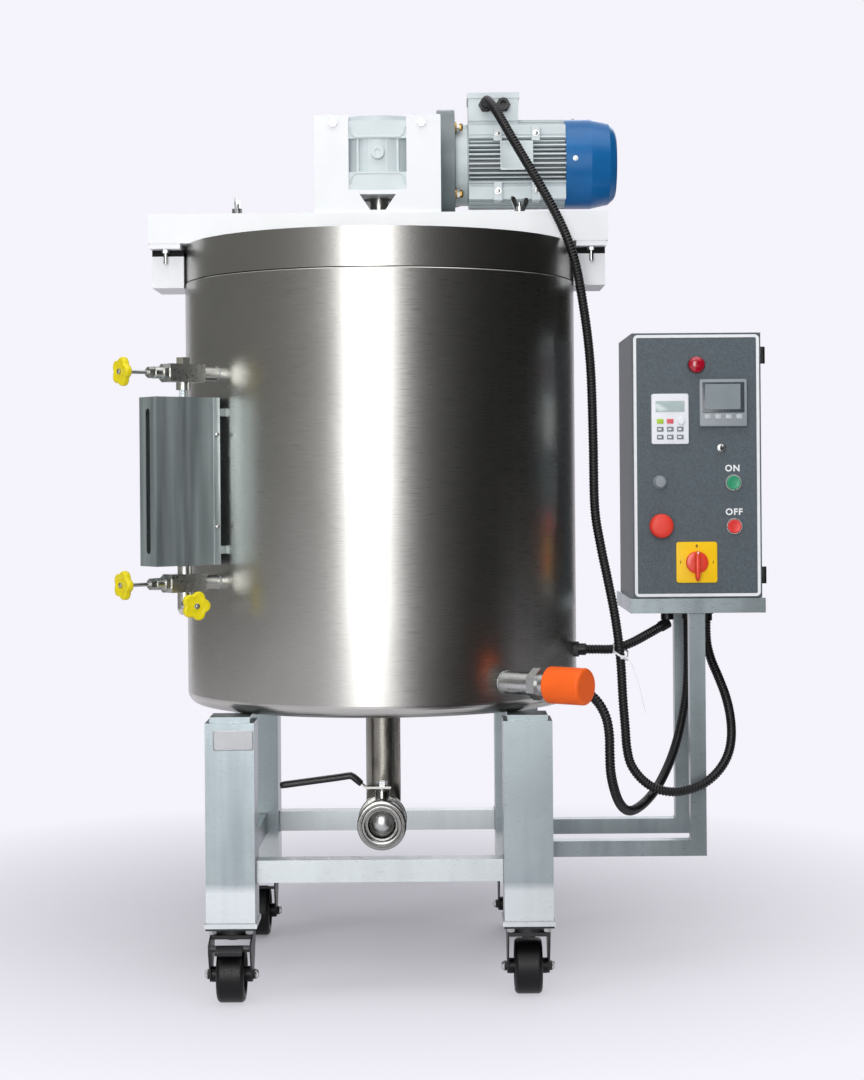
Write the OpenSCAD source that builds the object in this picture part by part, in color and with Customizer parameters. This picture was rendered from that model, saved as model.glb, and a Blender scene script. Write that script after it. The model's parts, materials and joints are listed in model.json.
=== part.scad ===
/* [Tank] */
// Outer radius of the jacket shell
shell_r = 375; // [345:1:400]
// Thickness of the shell sheet
shell_wall = 2; // [1.5:0.5:3]
// Height of the shell's underside above the floor
shell_z0 = 512; // [490:1:540]
// Height of the shell, from underside to shoulder
shell_h = 800; // [720:5:880]
// Radius of the shell's bottom corner
shell_corner = 22; // [8:1:34]
// Height of the rim band
band_h = 69; // [50:1:85]
// How far the rim band stands inside the shell
band_inset = 2; // [1:0.5:6]
// Open joint between the shell and the rim band
band_gap = 2; // [1:0.5:4]
// Rounding of the shell's upper edge
shell_edge = 1.5; // [1:0.5:5]
// Width of the jacket space round the vessel
jacket_gap = 48; // [44:1:60]
// Depth of the jacket space under the vessel
jacket_floor = 106; // [98:1:130]
// Thickness of the vessel sheet
vessel_wall = 3; // [2:0.5:4]
// Thickness of the cover sheets
cover_t = 2; // [1.5:0.5:3]
// Distance of the lid hinge in front of the girder
lid_hinge_gap = 8; // [6:1:30]
// Half width of the hinged front lid, as a share of the band's radius
lid_share = 0.75; // [0.55:0.001:0.76]
// Width of the rim's lip round the lid
lid_lip = 6; // [4:0.5:12]

/* [Bridge] */
// How far each end of the girder stands out from the shell
girder_over = 61; // [53:1:75]
// Depth of the girder, front to back
girder_d = 200; // [190:1:210]
// Height of the girder
girder_h = 56; // [48:1:70]
// Wall of the girder
girder_wall = 4; // [3:0.5:6]
// Thickness of the girder's foot plates
foot_t = 10; // [6:1:14]
// Thickness of the rubber pads
pad_t = 12; // [8:1:16]
// Height and width of the side blocks
block_s = 60; // [50:1:64]
// Depth of the side blocks
block_d = 140; // [110:1:145]
// Distance of the wing nuts from the tank axis
wing_x = 270; // [240:1:300]

/* [Drive] */
// Half width of the gearbox bracket
bracket_half = 120; // [116:1:130]
// Thickness of the bracket plates
bracket_t = 6; // [4:0.5:8]
// Height of the bracket's shelf above the girder
shelf_h = 44; // [38:1:54]
// Height of the gearbox
gear_h = 142; // [130:1:150]
// Half width of the window in the bracket
window_half = 55; // [45:1:62]
// Distance between worm and wheel axes
gear_gap = 90; // [88:1:96]
// Tip radius of the worm wheel
wheel_tip_r = 71; // [64:0.5:71]
// Teeth on the worm wheel
wheel_teeth = 30; // [20:1:40]
// Radius of the input flange and motor flange
flange_r = 109; // [100:1:110]
// Radius over the motor's fins
motor_r = 88; // [82:1:94]
// Depth of the motor's fins
fin_d = 14; // [8:0.5:15]
// Length of the motor body
motor_len = 189; // [170:1:210]
// Length of the fan cover
fan_len = 101; // [90:1:115]
// Radius of the drive shafts
shaft_r = 17.5; // [14:0.5:19]
// Length of the worm
worm_len = 100; // [80:1:110]
// How far the bracket's shelf reaches behind the worm
shelf_over = 50; // [46:1:60]

/* [Outlet] */
// Outer radius of the outlet pipe
pipe_r = 31.75; // [28:0.25:34]
// Wall of the outlet pipe
pipe_wall = 2; // [1.5:0.5:3]
// Distance of the outlet in front of the tank axis
outlet_y = 200; // [180:1:215]
// Height of the valve axis above the floor
valve_z = 320; // [310:1:340]
// Bend radius of the elbow
elbow_r = 60; // [50:1:70]
// Radius of the valve's end collars
valve_r = 44; // [41:0.5:48]
// Radius of the valve's bore
valve_bore = 25; // [20:0.5:26]
// Radius of the socket in the valve's ends
socket_r = 28; // [27:0.5:33]
// Depth of the socket in the valve's ends
socket_d = 12; // [8:0.5:13]
// Length of the valve body
valve_len = 92; // [88:1:100]
// Length of the lever
lever_len = 178; // [150:1:200]

/* [Heater] */
// Height of the heater axis above the floor
heater_z = 568; // [562:1:575]
// Radius of the heater boss
boss_r = 20; // [17:0.5:24]
// Length of the heater boss outside the shell
boss_len = 91; // [70:1:100]
// Radius of the heater cap
cap_r = 33; // [28:0.5:36]
// Length of the heater cap
cap_len = 77; // [60:1:90]

/* [Level gauge] */
// Distance of the gauge glass from the shell
gauge_gap = 70; // [65:1:80]
// Height of the lower gauge valve
gauge_z0 = 751; // [735:1:780]
// Distance between the gauge valves
gauge_span = 380; // [340:5:420]
// Width of the valve blocks
gauge_block = 33; // [30:1:36]
// Outer radius of the gauge glass
glass_r = 8; // [6:0.5:9]
// Width of the guard
guard_w = 58; // [50:1:66]
// Distance of the guard's ends from the valves' axes
guard_gap = 38; // [34:1:50]
// Radius over a handwheel's lobes
hand_r = 27; // [22:0.5:30]

/* [Base] */
// Width of the square legs
leg_w = 88; // [80:1:92]
// Distance of the leg centres from the middle plane across, as a share of the shell's radius
leg_share_x = 0.712; // [0.69:0.002:0.73]
// How much further apart the legs stand front to back than across, on each side
leg_step = 20; // [12:1:26]
// Wall of the legs and rails
leg_wall = 3; // [2:0.5:5]
// Section of the rails
rail_s = 40; // [34:1:46]
// Height of the rails above the floor
rail_z = 212; // [200:1:230]
// Width of the foot plates
plate_w = 94; // [92:1:100]
// Height of the casters
caster_h = 135; // [133:1:145]
// Radius of the caster wheels
wheel_r = 50; // [44:0.5:50]
// Width of the caster wheels' tread
wheel_w = 50; // [40:1:54]
// Trail of the casters
trail = 25; // [20:1:30]

/* [Control stand] */
// Section of the stand's tubes
tube_s = 30; // [25:1:34]
// Distance of the box's middle from the tank axis
box_x = 603; // [596:1:625]
// Width of the control box
box_w = 245; // [236:1:260]
// Height of the control box
box_h = 505; // [496:1:530]
// Depth of the control box with its door
box_d = 290; // [280:1:310]
// Height of the box's underside above the floor
box_z0 = 705; // [690:1:730]
// Distance of the door's front face in front of the tank axis
box_front = 80; // [76:1:86]
// Height of the tray under the box
tray_h = 28; // [20:1:34]
// Wall of the control box and its door
box_wall = 2; // [1.5:0.5:3]
// Depth of the door
door_d = 18; // [16:1:24]

/* [Panel] */
// Radius of the push buttons' caps
button_r = 13; // [9:0.1:13.2]
// Radius of the push buttons' bezels
bezel_r = 16; // [14.5:0.5:18]
// Radius of the emergency button's head
estop_r = 23; // [20:0.5:25]
// Radius of the speed knob
knob_r = 13; // [11:0.5:15]
// Radius of the pilot lamp's lens
lens_r = 15.6; // [11:0.1:16]
// Side of the main switch plate
switch_plate = 78; // [70:1:84]
// Radius of the main switch knob
switch_r = 21; // [18:0.5:24]
// How far the main switch handle reaches below its disc
pointer = 9; // [4:0.5:11]

/* [Conduits] */
// Outer diameter of the conduits
conduit_d = 18; // [14:0.5:18]

/* [Hidden] */
$fn = 64;
run_fit = 0.05;
seat_fit = 0.2;
free_gap = 0.3;
eps = 0.01;

vessel_r = shell_r - shell_wall - jacket_gap;
vessel_z0 = shell_z0 + shell_wall + jacket_floor;
shell_top = shell_z0 + shell_h;
band_r = shell_r - band_inset;
band_wall = 3;
band_z0 = shell_top + band_gap;
rim_z = band_z0 + band_h;
cover_z = rim_z + cover_t;
girder_half = shell_r + girder_over;
girder_z0 = cover_z + 1;
girder_z1 = girder_z0 + girder_h;
plate_z0 = girder_z0 - foot_t;
pad_z0 = plate_z0 - pad_t;
block_z0 = pad_z0 - block_s;
block_x0 = shell_r - 3;
lid_hinge_y = girder_d / 2 + lid_hinge_gap;
lid_half_w = lid_share * band_r;
bolt_x = girder_half - 31;
bolt_y = block_d / 2 + 12;
wing_y = 60;
shaft_hole = 30;

gear_z0 = girder_z1 + shelf_h;
gear_z1 = gear_z0 + gear_h;
motor_z = gear_z0 + gear_h / 2;
motor_y = gear_gap;
input_x = bracket_half - 8;
flange_t = 20;
flange_x = input_x + flange_t;
body_x = flange_x + 43;
fan_x = body_x + motor_len;
fan_end = fan_x + fan_len;
worm_r = gear_gap - wheel_tip_r - 1;
rotor_r = 14;
motor_bore = motor_r * 3 / 4;
core_gap = motor_bore - 52;
core_len = motor_len * 0.68;
tbox = [98, 100, 55];
tbox_lid = 11;
tbox_z = motor_z + motor_r - 8;
gland_r = 12.5;
gland_z = tbox_z + 30;
gland_len = 22;

outlet_x = 5;
elbow_end = outlet_y + elbow_r;
valve_y = elbow_end + 2;
ball_y = valve_y + valve_len / 2;
ball_r = 32;
stem_r = 6;
lever_z = valve_z + valve_r + 17;
lever_rise = 21;
lever_w = 22;
lever_t = 4;

heater_az = -52;
heater_dir = -35;
heater_at = [shell_r * cos(heater_az), shell_r * sin(heater_az), heater_z];
element_r = 5;
element_gap = 12;
element_len = 330;

gauge_az = 218;
gauge_rho = shell_r + gauge_gap;
gauge_z1 = gauge_z0 + gauge_span;
guard_h = gauge_span - 2 * guard_gap;
guard_z0 = gauge_z0 + guard_gap - 6;
guard_in = gauge_rho - 59;
guard_out = gauge_rho + 75;
stub_r = 12.5;
bonnet_r = 11;
hand_t = 13;
hand_rho = gauge_rho + 120;
hand_stem = 3.5;
drain_z = gauge_z0 - 39;
drain_turn = -64.5 - gauge_az;
drain_reach = 54;

leg_x = leg_share_x * shell_r;
leg_y = leg_x + leg_step;
leg_z0 = caster_h + 8;
leg_top = shell_z0 - 10;
post_x = box_x;
post_y0 = -66;
post_y1 = 200;
tray_z0 = box_z0 - tray_h;
box_x0 = box_x - box_w / 2;
box_x1 = box_x + box_w / 2;
door_y = -box_front;
box_y0 = door_y + door_d + 1;
box_y1 = door_y + box_d;
panel_z = box_z0 + box_h / 2;
hinge_r = 5;
hinge_x = box_x1 + hinge_r + 1;
hinge_y = door_y + door_d;
hinge_v = box_h / 2 - 42.5;
button_travel = 4;
estop_travel = 5;

// Panel places: right of and above the middle of the door, as shares of the box
function place(u, v) = [u * box_w, v * box_h];
lamp_at = place(0, 0.38);
meter_at = place(0.204, 0.2356);
keypad_at = place(-0.208, 0.1762);
toggle_at = place(0.192, 0.0653);
speed_at = place(-0.29, -0.0614);
on_at = place(0.2816, -0.0653);
off_at = place(0.2857, -0.2297);
estop_at = place(-0.2857, -0.2257);
switch_at = place(-0.008, -0.3644);

// Caster places: side across, side front to back, heading of the trail
CASTERS = [[-1, -1, -90], [1, -1, 90], [-1, 1, -90], [1, 1, 90]];

// Glands: the heater's and the sensor's on the shell, three under the tray
heater_gland_az = -35;
sensor_gland_az = -12;
heater_gland_z = heater_z - 12;
sensor_gland_z = heater_z + 42;
tray_glands = [[box_x + 30, 38], [box_x, 100]];
elbow_at = [box_x - 55, -46];
entry_r = 6;
tray_wall = 3;
sensor_entry = [box_x - 69, -58, tray_z0 - 27];
sensor_axis = [2, 1, 1] / sqrt(6);
conduit_gap = 0.4;
tray_tip = tray_z0 - gland_len - conduit_gap;
motor_gland = [body_x + 34, motor_y - tbox[1] / 2 - gland_len - conduit_gap, gland_z];

function shell_side(az, out, z) = [(shell_r + out) * cos(az), (shell_r + out) * sin(az), z];

function beside(out, y, t) = [shell_r + out, y, shell_top + t * (tray_z0 - shell_top)];

function below(x, y, drop) = [box_x + x, y, tray_z0 - drop];

// Conduit routes: down from the motor, beside the tank, then up under the tray
motor_route = concat(
    [for (p = [[0, 0, 0], [0, -27, 0], [2, -56, -4], [9, -83, -17], [20, -104, -37], [34, -117, -64],
        [52, -127, -98], [75, -138, -140], [101, -148, -187], [127, -156, -237]]) motor_gland + p],
    [beside(-18, -150, -0.107), beside(-3, -149, -0.028), beside(9, -141, 0.074), beside(19, -131, 0.184),
    beside(25, -123, 0.302), beside(28, -120, 0.491), beside(30, -120, 0.68), beside(40, -121, 0.79),
    beside(54, -122, 0.901), beside(67, -122, 1.011), beside(76, -122, 1.129), beside(80, -122, 1.247),
    beside(84, -122, 1.334)],
    [below(-141, -122, 252), below(-133, -122, 283), below(-113, -122, 310), below(-86, -122, 328),
    below(-53, -122, 334), below(-20, -120, 329), below(10, -115, 316), below(36, -105, 294),
    below(54, -90, 267), below(63, -70, 235), below(64, -46, 199), below(59, -20, 164), below(49, 3, 131),
    below(38, 22, 100), below(32, 34, 73), below(tray_glands[0][0] - box_x, tray_glands[0][1], 47),
    [tray_glands[0][0], tray_glands[0][1], tray_tip]]);
heater_route = concat(
    [for (p = [[gland_len + conduit_gap, 0], [46, 0], [78, -6], [107, -25], [125, -52], [132, -83],
        [133, -118]]) shell_side(heater_gland_az, p[0], heater_gland_z + p[1])],
    [below(-185, -286, 274), below(-178, -272, 306), below(-168, -251, 332), below(-155, -223, 350),
    below(-140, -192, 358), below(-121, -151, 357), below(-100, -106, 349), below(-79, -62, 334),
    below(-59, -21, 311), below(-41, 16, 283), below(-26, 47, 250), below(-14, 72, 213), below(-5, 89, 172),
    below(-1, 98, 130), below(0, tray_glands[1][1], 89), below(0, tray_glands[1][1], 55),
    [tray_glands[1][0], tray_glands[1][1], tray_tip]]);
sensor_route = [shell_side(sensor_gland_az, gland_len + conduit_gap, sensor_gland_z),
    shell_side(sensor_gland_az, gland_len + 18, sensor_gland_z), beside(67, -90, 1.104), below(-127, -85, 55),
    below(-93, -70, 39), sensor_entry - conduit_gap * sensor_axis];
motor_ribs = 140;
heater_ribs = 52;
sensor_ribs = 12;

// Shapes used by several pieces
module box(x0, x1, y0, y1, z0, z1) translate([x0, y0, z0]) cube([x1 - x0, y1 - y0, z1 - z0]);

module hexagon(across, h) cylinder(d = across / cos(30), h = h, $fn = 6);

module tube(r, wall, h) difference() {
    cylinder(r = r, h = h);
    translate([0, 0, -1]) cylinder(r = r - wall, h = h + 2);
}

module along_x() rotate([0, 90, 0]) children();

module along_front() rotate([90, 0, 0]) children();

module both_sides() for (s = [0, 1]) mirror([s, 0, 0]) children();

module at_gauge() rotate([0, 0, gauge_az]) children();

module at_heater() translate(heater_at) rotate([0, 0, heater_dir]) along_x() children();

module on_panel(at, out = 0) translate([box_x + at[0], door_y - out, panel_z + at[1]]) along_front()
    children();

module at_motor(x) translate([x, motor_y, motor_z]) along_x() children();

module at_caster(i) translate([CASTERS[i][0] * leg_x, CASTERS[i][1] * leg_y, 0])
    rotate([0, 0, CASTERS[i][2]]) children();

module at_casters() for (i = [0 : 3]) at_caster(i) children();

// Smooth path through a route's points, and a ribbed tube swept along it
function spline(p, i, t) = let (a = p[max(i - 1, 0)], b = p[i], c = p[i + 1], d = p[min(i + 2, len(p) - 1)])
    0.5 * (2 * b + (c - a) * t + (2 * a - 5 * b + 4 * c - d) * t * t + (3 * b - a - 3 * c + d) * t * t * t);

function along(p, n) = [for (k = [0 : n]) let (s = k * (len(p) - 1) / n, i = min(floor(s), len(p) - 2))
    spline(p, i, s - i)];

function unit(v) = v / norm(v);

function headings(q) = [for (k = [0 : len(q) - 1]) unit(q[min(k + 1, len(q) - 1)] - q[max(k - 1, 0)])];

function carried(v, h) = unit(v - (v * h) * h);

function sides(h) = [for (k = 0, v = carried([0.2, 1, 0.1], h[0]); k < len(h);
    k = k + 1, v = k < len(h) ? carried(v, h[k]) : v) v];

function ring(c, h, v, r) = [for (a = [0 : 45 : 315]) c + r * (cos(a) * v + sin(a) * cross(h, v))];

function skin(first, rings, flip) = [for (k = [0 : rings - 2], j = [0 : 7], half = [0, 1])
    let (a = first + 8 * k + j, b = first + 8 * k + (j + 1) % 8, c = a + 8, d = b + 8)
    half == 0 ? (flip ? [a, b, d] : [a, d, b]) : (flip ? [a, d, c] : [a, c, d])];

function end_face(outer, inner, flip) = [for (j = [0 : 7], half = [0, 1])
    let (a = outer + j, b = outer + (j + 1) % 8, c = inner + j, d = inner + (j + 1) % 8)
    half == 0 ? (flip ? [a, d, b] : [a, b, d]) : (flip ? [a, c, d] : [a, d, c])];

module ribbed_tube(route, ribs, d) {
    rings = 2 * ribs + 1;
    q = along(route, rings - 1);
    h = headings(q);
    v = sides(h);
    skip = 4;
    picks = [for (k = [0 : skip : rings - 1]) k];
    last = picks[len(picks) - 1] == rings - 1 ? picks : concat(picks, [rings - 1]);
    outer = [for (k = [0 : rings - 1], p = ring(q[k], h[k], v[k], k % 2 == 0 ? d / 2 : d / 2 - 1.2)) p];
    inner = [for (k = last, p = ring(q[k], h[k], v[k], d / 2 - 3)) p];
    base = 8 * rings;
    faces = concat(skin(0, rings, false), skin(base, len(last), true), end_face(0, base, false),
        end_face(8 * (rings - 1), base + 8 * (len(last) - 1), true));
    polyhedron(points = concat(outer, inner), faces = faces);
}

// Base
module leg() {
    difference() {
        box(-leg_w / 2, leg_w / 2, -leg_w / 2, leg_w / 2, leg_z0, leg_top);
        box(-leg_w / 2 + leg_wall, leg_w / 2 - leg_wall, -leg_w / 2 + leg_wall, leg_w / 2 - leg_wall,
            leg_z0 - 1, leg_top - leg_wall);
    }
    box(-leg_w / 2 + 8, leg_w / 2 - 8, -leg_w / 2 + 8, leg_w / 2 - 8, leg_top, shell_z0);
}

module foot_plate() difference() {
    box(-plate_w / 2, plate_w / 2, -plate_w / 2, plate_w / 2, caster_h, leg_z0);
    caster_bolts() translate([0, 0, caster_h - 1]) cylinder(r = 4 + seat_fit, h = 10);
}

module caster_bolts() for (x = [-1, 1], y = [-1, 1]) translate([x * caster_bolt_at, y * caster_bolt_at, 0])
    children();

module rail(half) difference() {
    box(-half, half, -rail_s / 2, rail_s / 2, rail_z, rail_z + rail_s);
    box(-half - 1, half + 1, -rail_s / 2 + leg_wall, rail_s / 2 - leg_wall, rail_z + leg_wall,
        rail_z + rail_s - leg_wall);
}

module base_frame() color("lightsteelblue") {
    for (x = [-1, 1], y = [-1, 1]) translate([x * leg_x, y * leg_y, 0]) {
        leg();
        foot_plate();
    }
    for (y = [-1, 1]) translate([0, y * leg_y, 0]) rail(leg_x - leg_w / 2 + leg_wall / 2);
    for (x = [-1, 1]) translate([x * leg_x, 0, 0]) rotate([0, 0, 90]) rail(leg_y - leg_w / 2 + leg_wall / 2);
}

caster_bolt_at = leg_w / 2 - leg_wall - 8;
crown_z1 = caster_h - 14 - free_gap;
crown_z0 = crown_z1 - 7;
pin_r = 9;
fork_half = 38.5;
fork_t = 3;
axle_r = 6;
pedal_at = [62, caster_h - 32];

module caster_plates() color("dimgray") at_casters() {
    difference() {
        box(-plate_w / 2 + 2, plate_w / 2 - 2, -plate_w / 2 + 2, plate_w / 2 - 2, caster_h - 4, caster_h);
        caster_bolts() translate([0, 0, caster_h - 5]) cylinder(r = 4 + seat_fit, h = 6);
    }
    translate([0, 0, caster_h - 14]) cylinder(r = 32, h = 10);
    translate([0, 0, crown_z0 - free_gap - 5]) cylinder(r = pin_r, h = 20);
    translate([0, 0, crown_z0 - free_gap - 5]) cylinder(r = 14, h = 5);
}

module fork_cheek() rotate([90, 0, 0]) linear_extrude(fork_t)
    polygon([[-26, crown_z1], [30, crown_z1], [pedal_at[0] + 6, pedal_at[1] + 6], [pedal_at[0] + 6,
        pedal_at[1] - 6],
        [trail + 13, wheel_r - 11], [trail - 13, wheel_r - 11], [-26, crown_z0 - 12]]);

module caster_fork(i) color("black") at_caster(i) {
    difference() {
        union() {
            box(-30, 34, -fork_half, fork_half, crown_z0, crown_z1);
            translate([0, -fork_half + fork_t, 0]) fork_cheek();
            translate([0, fork_half, 0]) fork_cheek();
        }
        translate([0, 0, crown_z0 - 1]) cylinder(r = pin_r + run_fit, h = 9);
        translate([trail, 0, wheel_r]) along_front() cylinder(r = axle_r, h = 100, center = true);
        translate([pedal_at[0], 0, pedal_at[1]]) along_front() cylinder(r = 3, h = 100, center = true);
    }
    translate([trail, 0, wheel_r]) along_front() {
        cylinder(r = axle_r, h = 2 * fork_half, center = true);
        translate([0, 0, fork_half]) hexagon(16, 5);
        translate([0, 0, -fork_half - 6]) hexagon(16, 6);
    }
    translate([pedal_at[0], 0, pedal_at[1]]) along_front() cylinder(r = 3, h = 2 * fork_half, center = true);
}

module caster_wheel(i) color("black") at_caster(i) translate([trail, 0, wheel_r]) along_front()
    rotate_extrude() polygon(concat([[axle_r + run_fit, -fork_half + fork_t + free_gap],
        [14, -fork_half + fork_t + free_gap], [14, -wheel_w / 2 + 6], [wheel_r - 14, -wheel_w / 2 + 6],
        [wheel_r - 10, -wheel_w / 2]],
        [for (a = [0 : 15 : 90]) [wheel_r - 8 + 8 * sin(a), -wheel_w / 2 + 8 - 8 * cos(a)]],
        [for (a = [0 : 15 : 90]) [wheel_r - 8 + 8 * cos(a), wheel_w / 2 - 8 + 8 * sin(a)]],
        [[wheel_r - 10, wheel_w / 2], [wheel_r - 14, wheel_w / 2 - 6], [14, wheel_w / 2 - 6],
        [14, fork_half - fork_t - free_gap], [axle_r + run_fit, fork_half - fork_t - free_gap]]));

module brake_pedal(i) color("dimgray") at_caster(i) translate([pedal_at[0], 0, pedal_at[1]]) difference() {
    union() {
        along_front() cylinder(r = 6, h = 2 * (fork_half - fork_t - free_gap), center = true);
        rotate([0, 10, 0]) box(0, 34, -24, 24, 0, 6);
    }
    along_front() cylinder(r = 3 + run_fit, h = 100, center = true);
}

// Fasteners of the fixed structure
module caster_bolt() {
    translate([0, 0, caster_h - 12]) cylinder(r = 4, h = 20);
    translate([0, 0, leg_z0]) hexagon(13, 5);
    translate([0, 0, caster_h - 4 - 7]) hexagon(13, 7);
}

module girder_bolt() {
    cylinder(r = 4, h = 27 + girder_wall + foot_t);
    translate([0, 0, 27 - 7]) hexagon(13, 7);
    translate([0, 0, 27 + girder_wall + foot_t]) hexagon(13, 5);
}

module wing_nut(turn) rotate([0, 0, turn]) {
    cylinder(r = 10, h = 13);
    cylinder(r = 4, h = 22);
    for (s = [0, 180]) rotate([0, 0, s]) translate([0, 2, 0]) rotate([90, 0, 0]) linear_extrude(4)
        polygon([[6, 4], [10, 3], [22, 24], [20, 32], [13, 31], [6, 13]]);
}

module fasteners() color("gainsboro") {
    for (i = [0 : 3]) at_caster(i) caster_bolts() caster_bolt();
    for (x = [-1, 1], y = [-1, 1]) translate([x * bolt_x, y * bolt_y, plate_z0 - 27]) girder_bolt();
    translate([-wing_x, -wing_y, girder_z1]) wing_nut(84);
    translate([wing_x, -wing_y, girder_z1]) wing_nut(40);
    both_sides() translate([-84, bracket_front, gear_z1 - 16]) along_front() hexagon(13, 5);
    for (a = [45 : 90 : 315]) at_motor(flange_x + 16) rotate([0, 0, a]) translate([flange_r - 17, 0, 0])
        hexagon(17, 9);
    for (s = [-1, 1]) at_gauge() translate([guard_in + 10, guard_w / 2, guard_z0 + guard_h / 2 + s * 84])
        rotate([-90, 0, 0]) cylinder(r = 3.5, h = 2.5);
}

// Control stand, box and panel
module stand_side(y) {
    x0 = leg_x + rail_s / 2;
    box(x0, post_x + tube_s / 2, y, y + tube_s, rail_z, rail_z + tube_s);
    box(post_x - tube_s / 2, post_x + tube_s / 2, y, y + tube_s, rail_z + tube_s, tray_z0);
}

module panel_stand() color("silver") {
    stand_side(post_y0);
    stand_side(post_y1);
    difference() {
        box(box_x0 - 6, box_x1 + 6, door_y - 4, post_y1 + tube_s + 2, tray_z0, box_z0);
        box(box_x0 - 3, box_x1 + 3, door_y - 1, post_y1 + tube_s - 1, tray_z0 - 1, box_z0 - tray_wall);
        for (p = concat(tray_glands, [elbow_at])) translate([p[0], p[1], tray_z0]) cylinder(r = entry_r,
            h = tray_h + 1);
    }
    for (y = [post_y0, post_y1]) box(post_x - tube_s / 2, post_x + tube_s / 2, y, y + tube_s, tray_z0,
        box_z0 - tray_wall);
}

module hinge_places() for (s = [-1, 1]) translate([hinge_x, hinge_y, panel_z + s * hinge_v]) children();

module control_box() color("dimgray") {
    difference() {
        box(box_x0, box_x1, box_y0, box_y1, box_z0, box_z0 + box_h);
        box(box_x0 + box_wall, box_x1 - box_wall, box_y0 - 1, box_y1 - box_wall, box_z0 + box_wall,
            box_z0 + box_h - box_wall);
        for (p = concat(tray_glands, [elbow_at])) translate([p[0], p[1], box_z0 - 1]) cylinder(r = 8, h = 6);
    }
    hinge_places() {
        translate([0, 0, -16]) cylinder(r = hinge_r, h = 16);
        cylinder(r = 2, h = 15);
        box(-hinge_r - 1, 0, 0, hinge_r, -16, 0);
        box(-hinge_r - 1, -hinge_r + 1, 0, 16, -16, 0);
    }
    box(box_x0 + 24, box_x1 - 24, box_y1 - box_wall - 3, box_y1 - box_wall, box_z0 + 30, box_z0 + box_h - 30);
    box(box_x - 70, box_x + 4, box_y1 - box_wall - 123, box_y1 - box_wall - 3, panel_z + 0.04 * box_h,
        panel_z + 0.356 * box_h);
    box(box_x + 24, box_x + 74, box_y1 - box_wall - 83, box_y1 - box_wall - 3, panel_z + 0.119 * box_h,
        panel_z + 0.297 * box_h);
    box(box_x - 80, box_x + 80, box_y1 - box_wall - 53, box_y1 - box_wall - 3, panel_z - 0.317 * box_h,
        panel_z - 0.218 * box_h);
}

module panel_door() color("darkslategray") {
    difference() {
        box(box_x0, box_x1, door_y, door_y + door_d, box_z0 + 1, box_z0 + box_h);
        box(box_x0 + box_wall, box_x1 - box_wall, door_y + box_wall, door_y + door_d + 1,
            box_z0 + 1 + box_wall,
            box_z0 + box_h - box_wall);
        for (at = [on_at, off_at]) on_panel(at, 1) translate([0, 0, -10])
            cylinder(r = button_r + 2 + seat_fit, h = 12);
        on_panel(estop_at, 1) translate([0, 0, -10]) cylinder(r = 10 + seat_fit, h = 12);
        for (at = [speed_at, switch_at]) on_panel(at, 1) translate([0, 0, -10]) cylinder(r = 4 + run_fit,
            h = 12);
        on_panel(toggle_at, 1) translate([0, 0, -10]) cylinder(r = 6 + seat_fit, h = 12);
    }
    hinge_places() difference() {
        union() {
            translate([0, 0, free_gap]) cylinder(r = hinge_r, h = 16);
            box(-hinge_r - 1, 0, -hinge_r, 0, free_gap, 16 + free_gap);
        }
        translate([0, 0, -1]) cylinder(r = 2 + run_fit, h = 18);
    }
}

module pilot_lamp() color("crimson") on_panel(lamp_at) {
    cylinder(r = 17, h = 3);
    cylinder(r = lens_r, h = 8);
    translate([0, 0, 8]) intersection() {
        translate([0, 0, -14]) sphere(r = norm([lens_r, 14]));
        cylinder(r = lens_r, h = 7);
    }
}

module keypad() color("whitesmoke") on_panel(keypad_at) {
    difference() {
        linear_extrude(7) square([71, 96], center = true);
        translate([-28, 14, 5.5]) cube([56, 24, 4]);
    }
    for (x = [-1 : 1], y = [0 : 1]) translate([x * 19, -38 + y * 16, 7]) linear_extrude(1.2)
        square([13, 10], center = true);
    for (x = [-1 : 0]) translate([x * 19, -2, 7]) linear_extrude(1.2) square([13, 10], center = true);
    translate([19, -2, 7]) cylinder(r = 7, h = 5);
}

module temperature_controller() color("slategray") on_panel(meter_at) {
    difference() {
        linear_extrude(10) square([90, 90], center = true);
        translate([-35, -16, 7.5]) cube([70, 52, 4]);
    }
    for (x = [-1.5 : 1.5]) translate([x * 19, -31, 10]) linear_extrude(1.2) square([13, 9], center = true);
}

module push_bezel() difference() {
    union() {
        cylinder(r = bezel_r, h = 5);
        translate([0, 0, -24]) cylinder(r = button_r + 2, h = 25);
    }
    translate([0, 0, -20]) cylinder(r = button_r + run_fit, h = 30);
    translate([0, 0, -25]) cylinder(r = 4, h = 30);
}

module button_bezels() color("silver") {
    for (at = [on_at, off_at]) on_panel(at) push_bezel();
    on_panel(estop_at) difference() {
        union() {
            cylinder(r = estop_r - 5, h = 4);
            translate([0, 0, -24]) cylinder(r = 10, h = 25);
        }
        translate([0, 0, -20]) cylinder(r = 8 + run_fit, h = 30);
        translate([0, 0, -25]) cylinder(r = 4, h = 30);
    }
    on_panel(toggle_at) difference() {
        union() {
            cylinder(r = 8, h = 3);
            translate([0, 0, -16]) cylinder(r = 6, h = 24);
        }
        translate([0, 0, -14]) cylinder(r = 4, h = 24);
    }
}

module main_switch_plate() color("gold") on_panel(switch_at) difference() {
    linear_extrude(4) square([switch_plate, switch_plate], center = true);
    translate([0, 0, -1]) cylinder(r = 4 + run_fit, h = 6);
}

module toggle_lever() color("silver") on_panel(toggle_at) {
    translate([0, 0, 2]) intersection() {
        sphere(r = 4 - run_fit);
        along_x() cylinder(r = 3.2, h = 9, center = true);
    }
    translate([0, 0, 2]) rotate([-12, 0, 0]) cylinder(r = 2, h = 18);
    translate([0, 0, 2]) rotate([-12, 0, 0]) translate([0, 0, 18]) sphere(r = 3.2);
}

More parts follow.
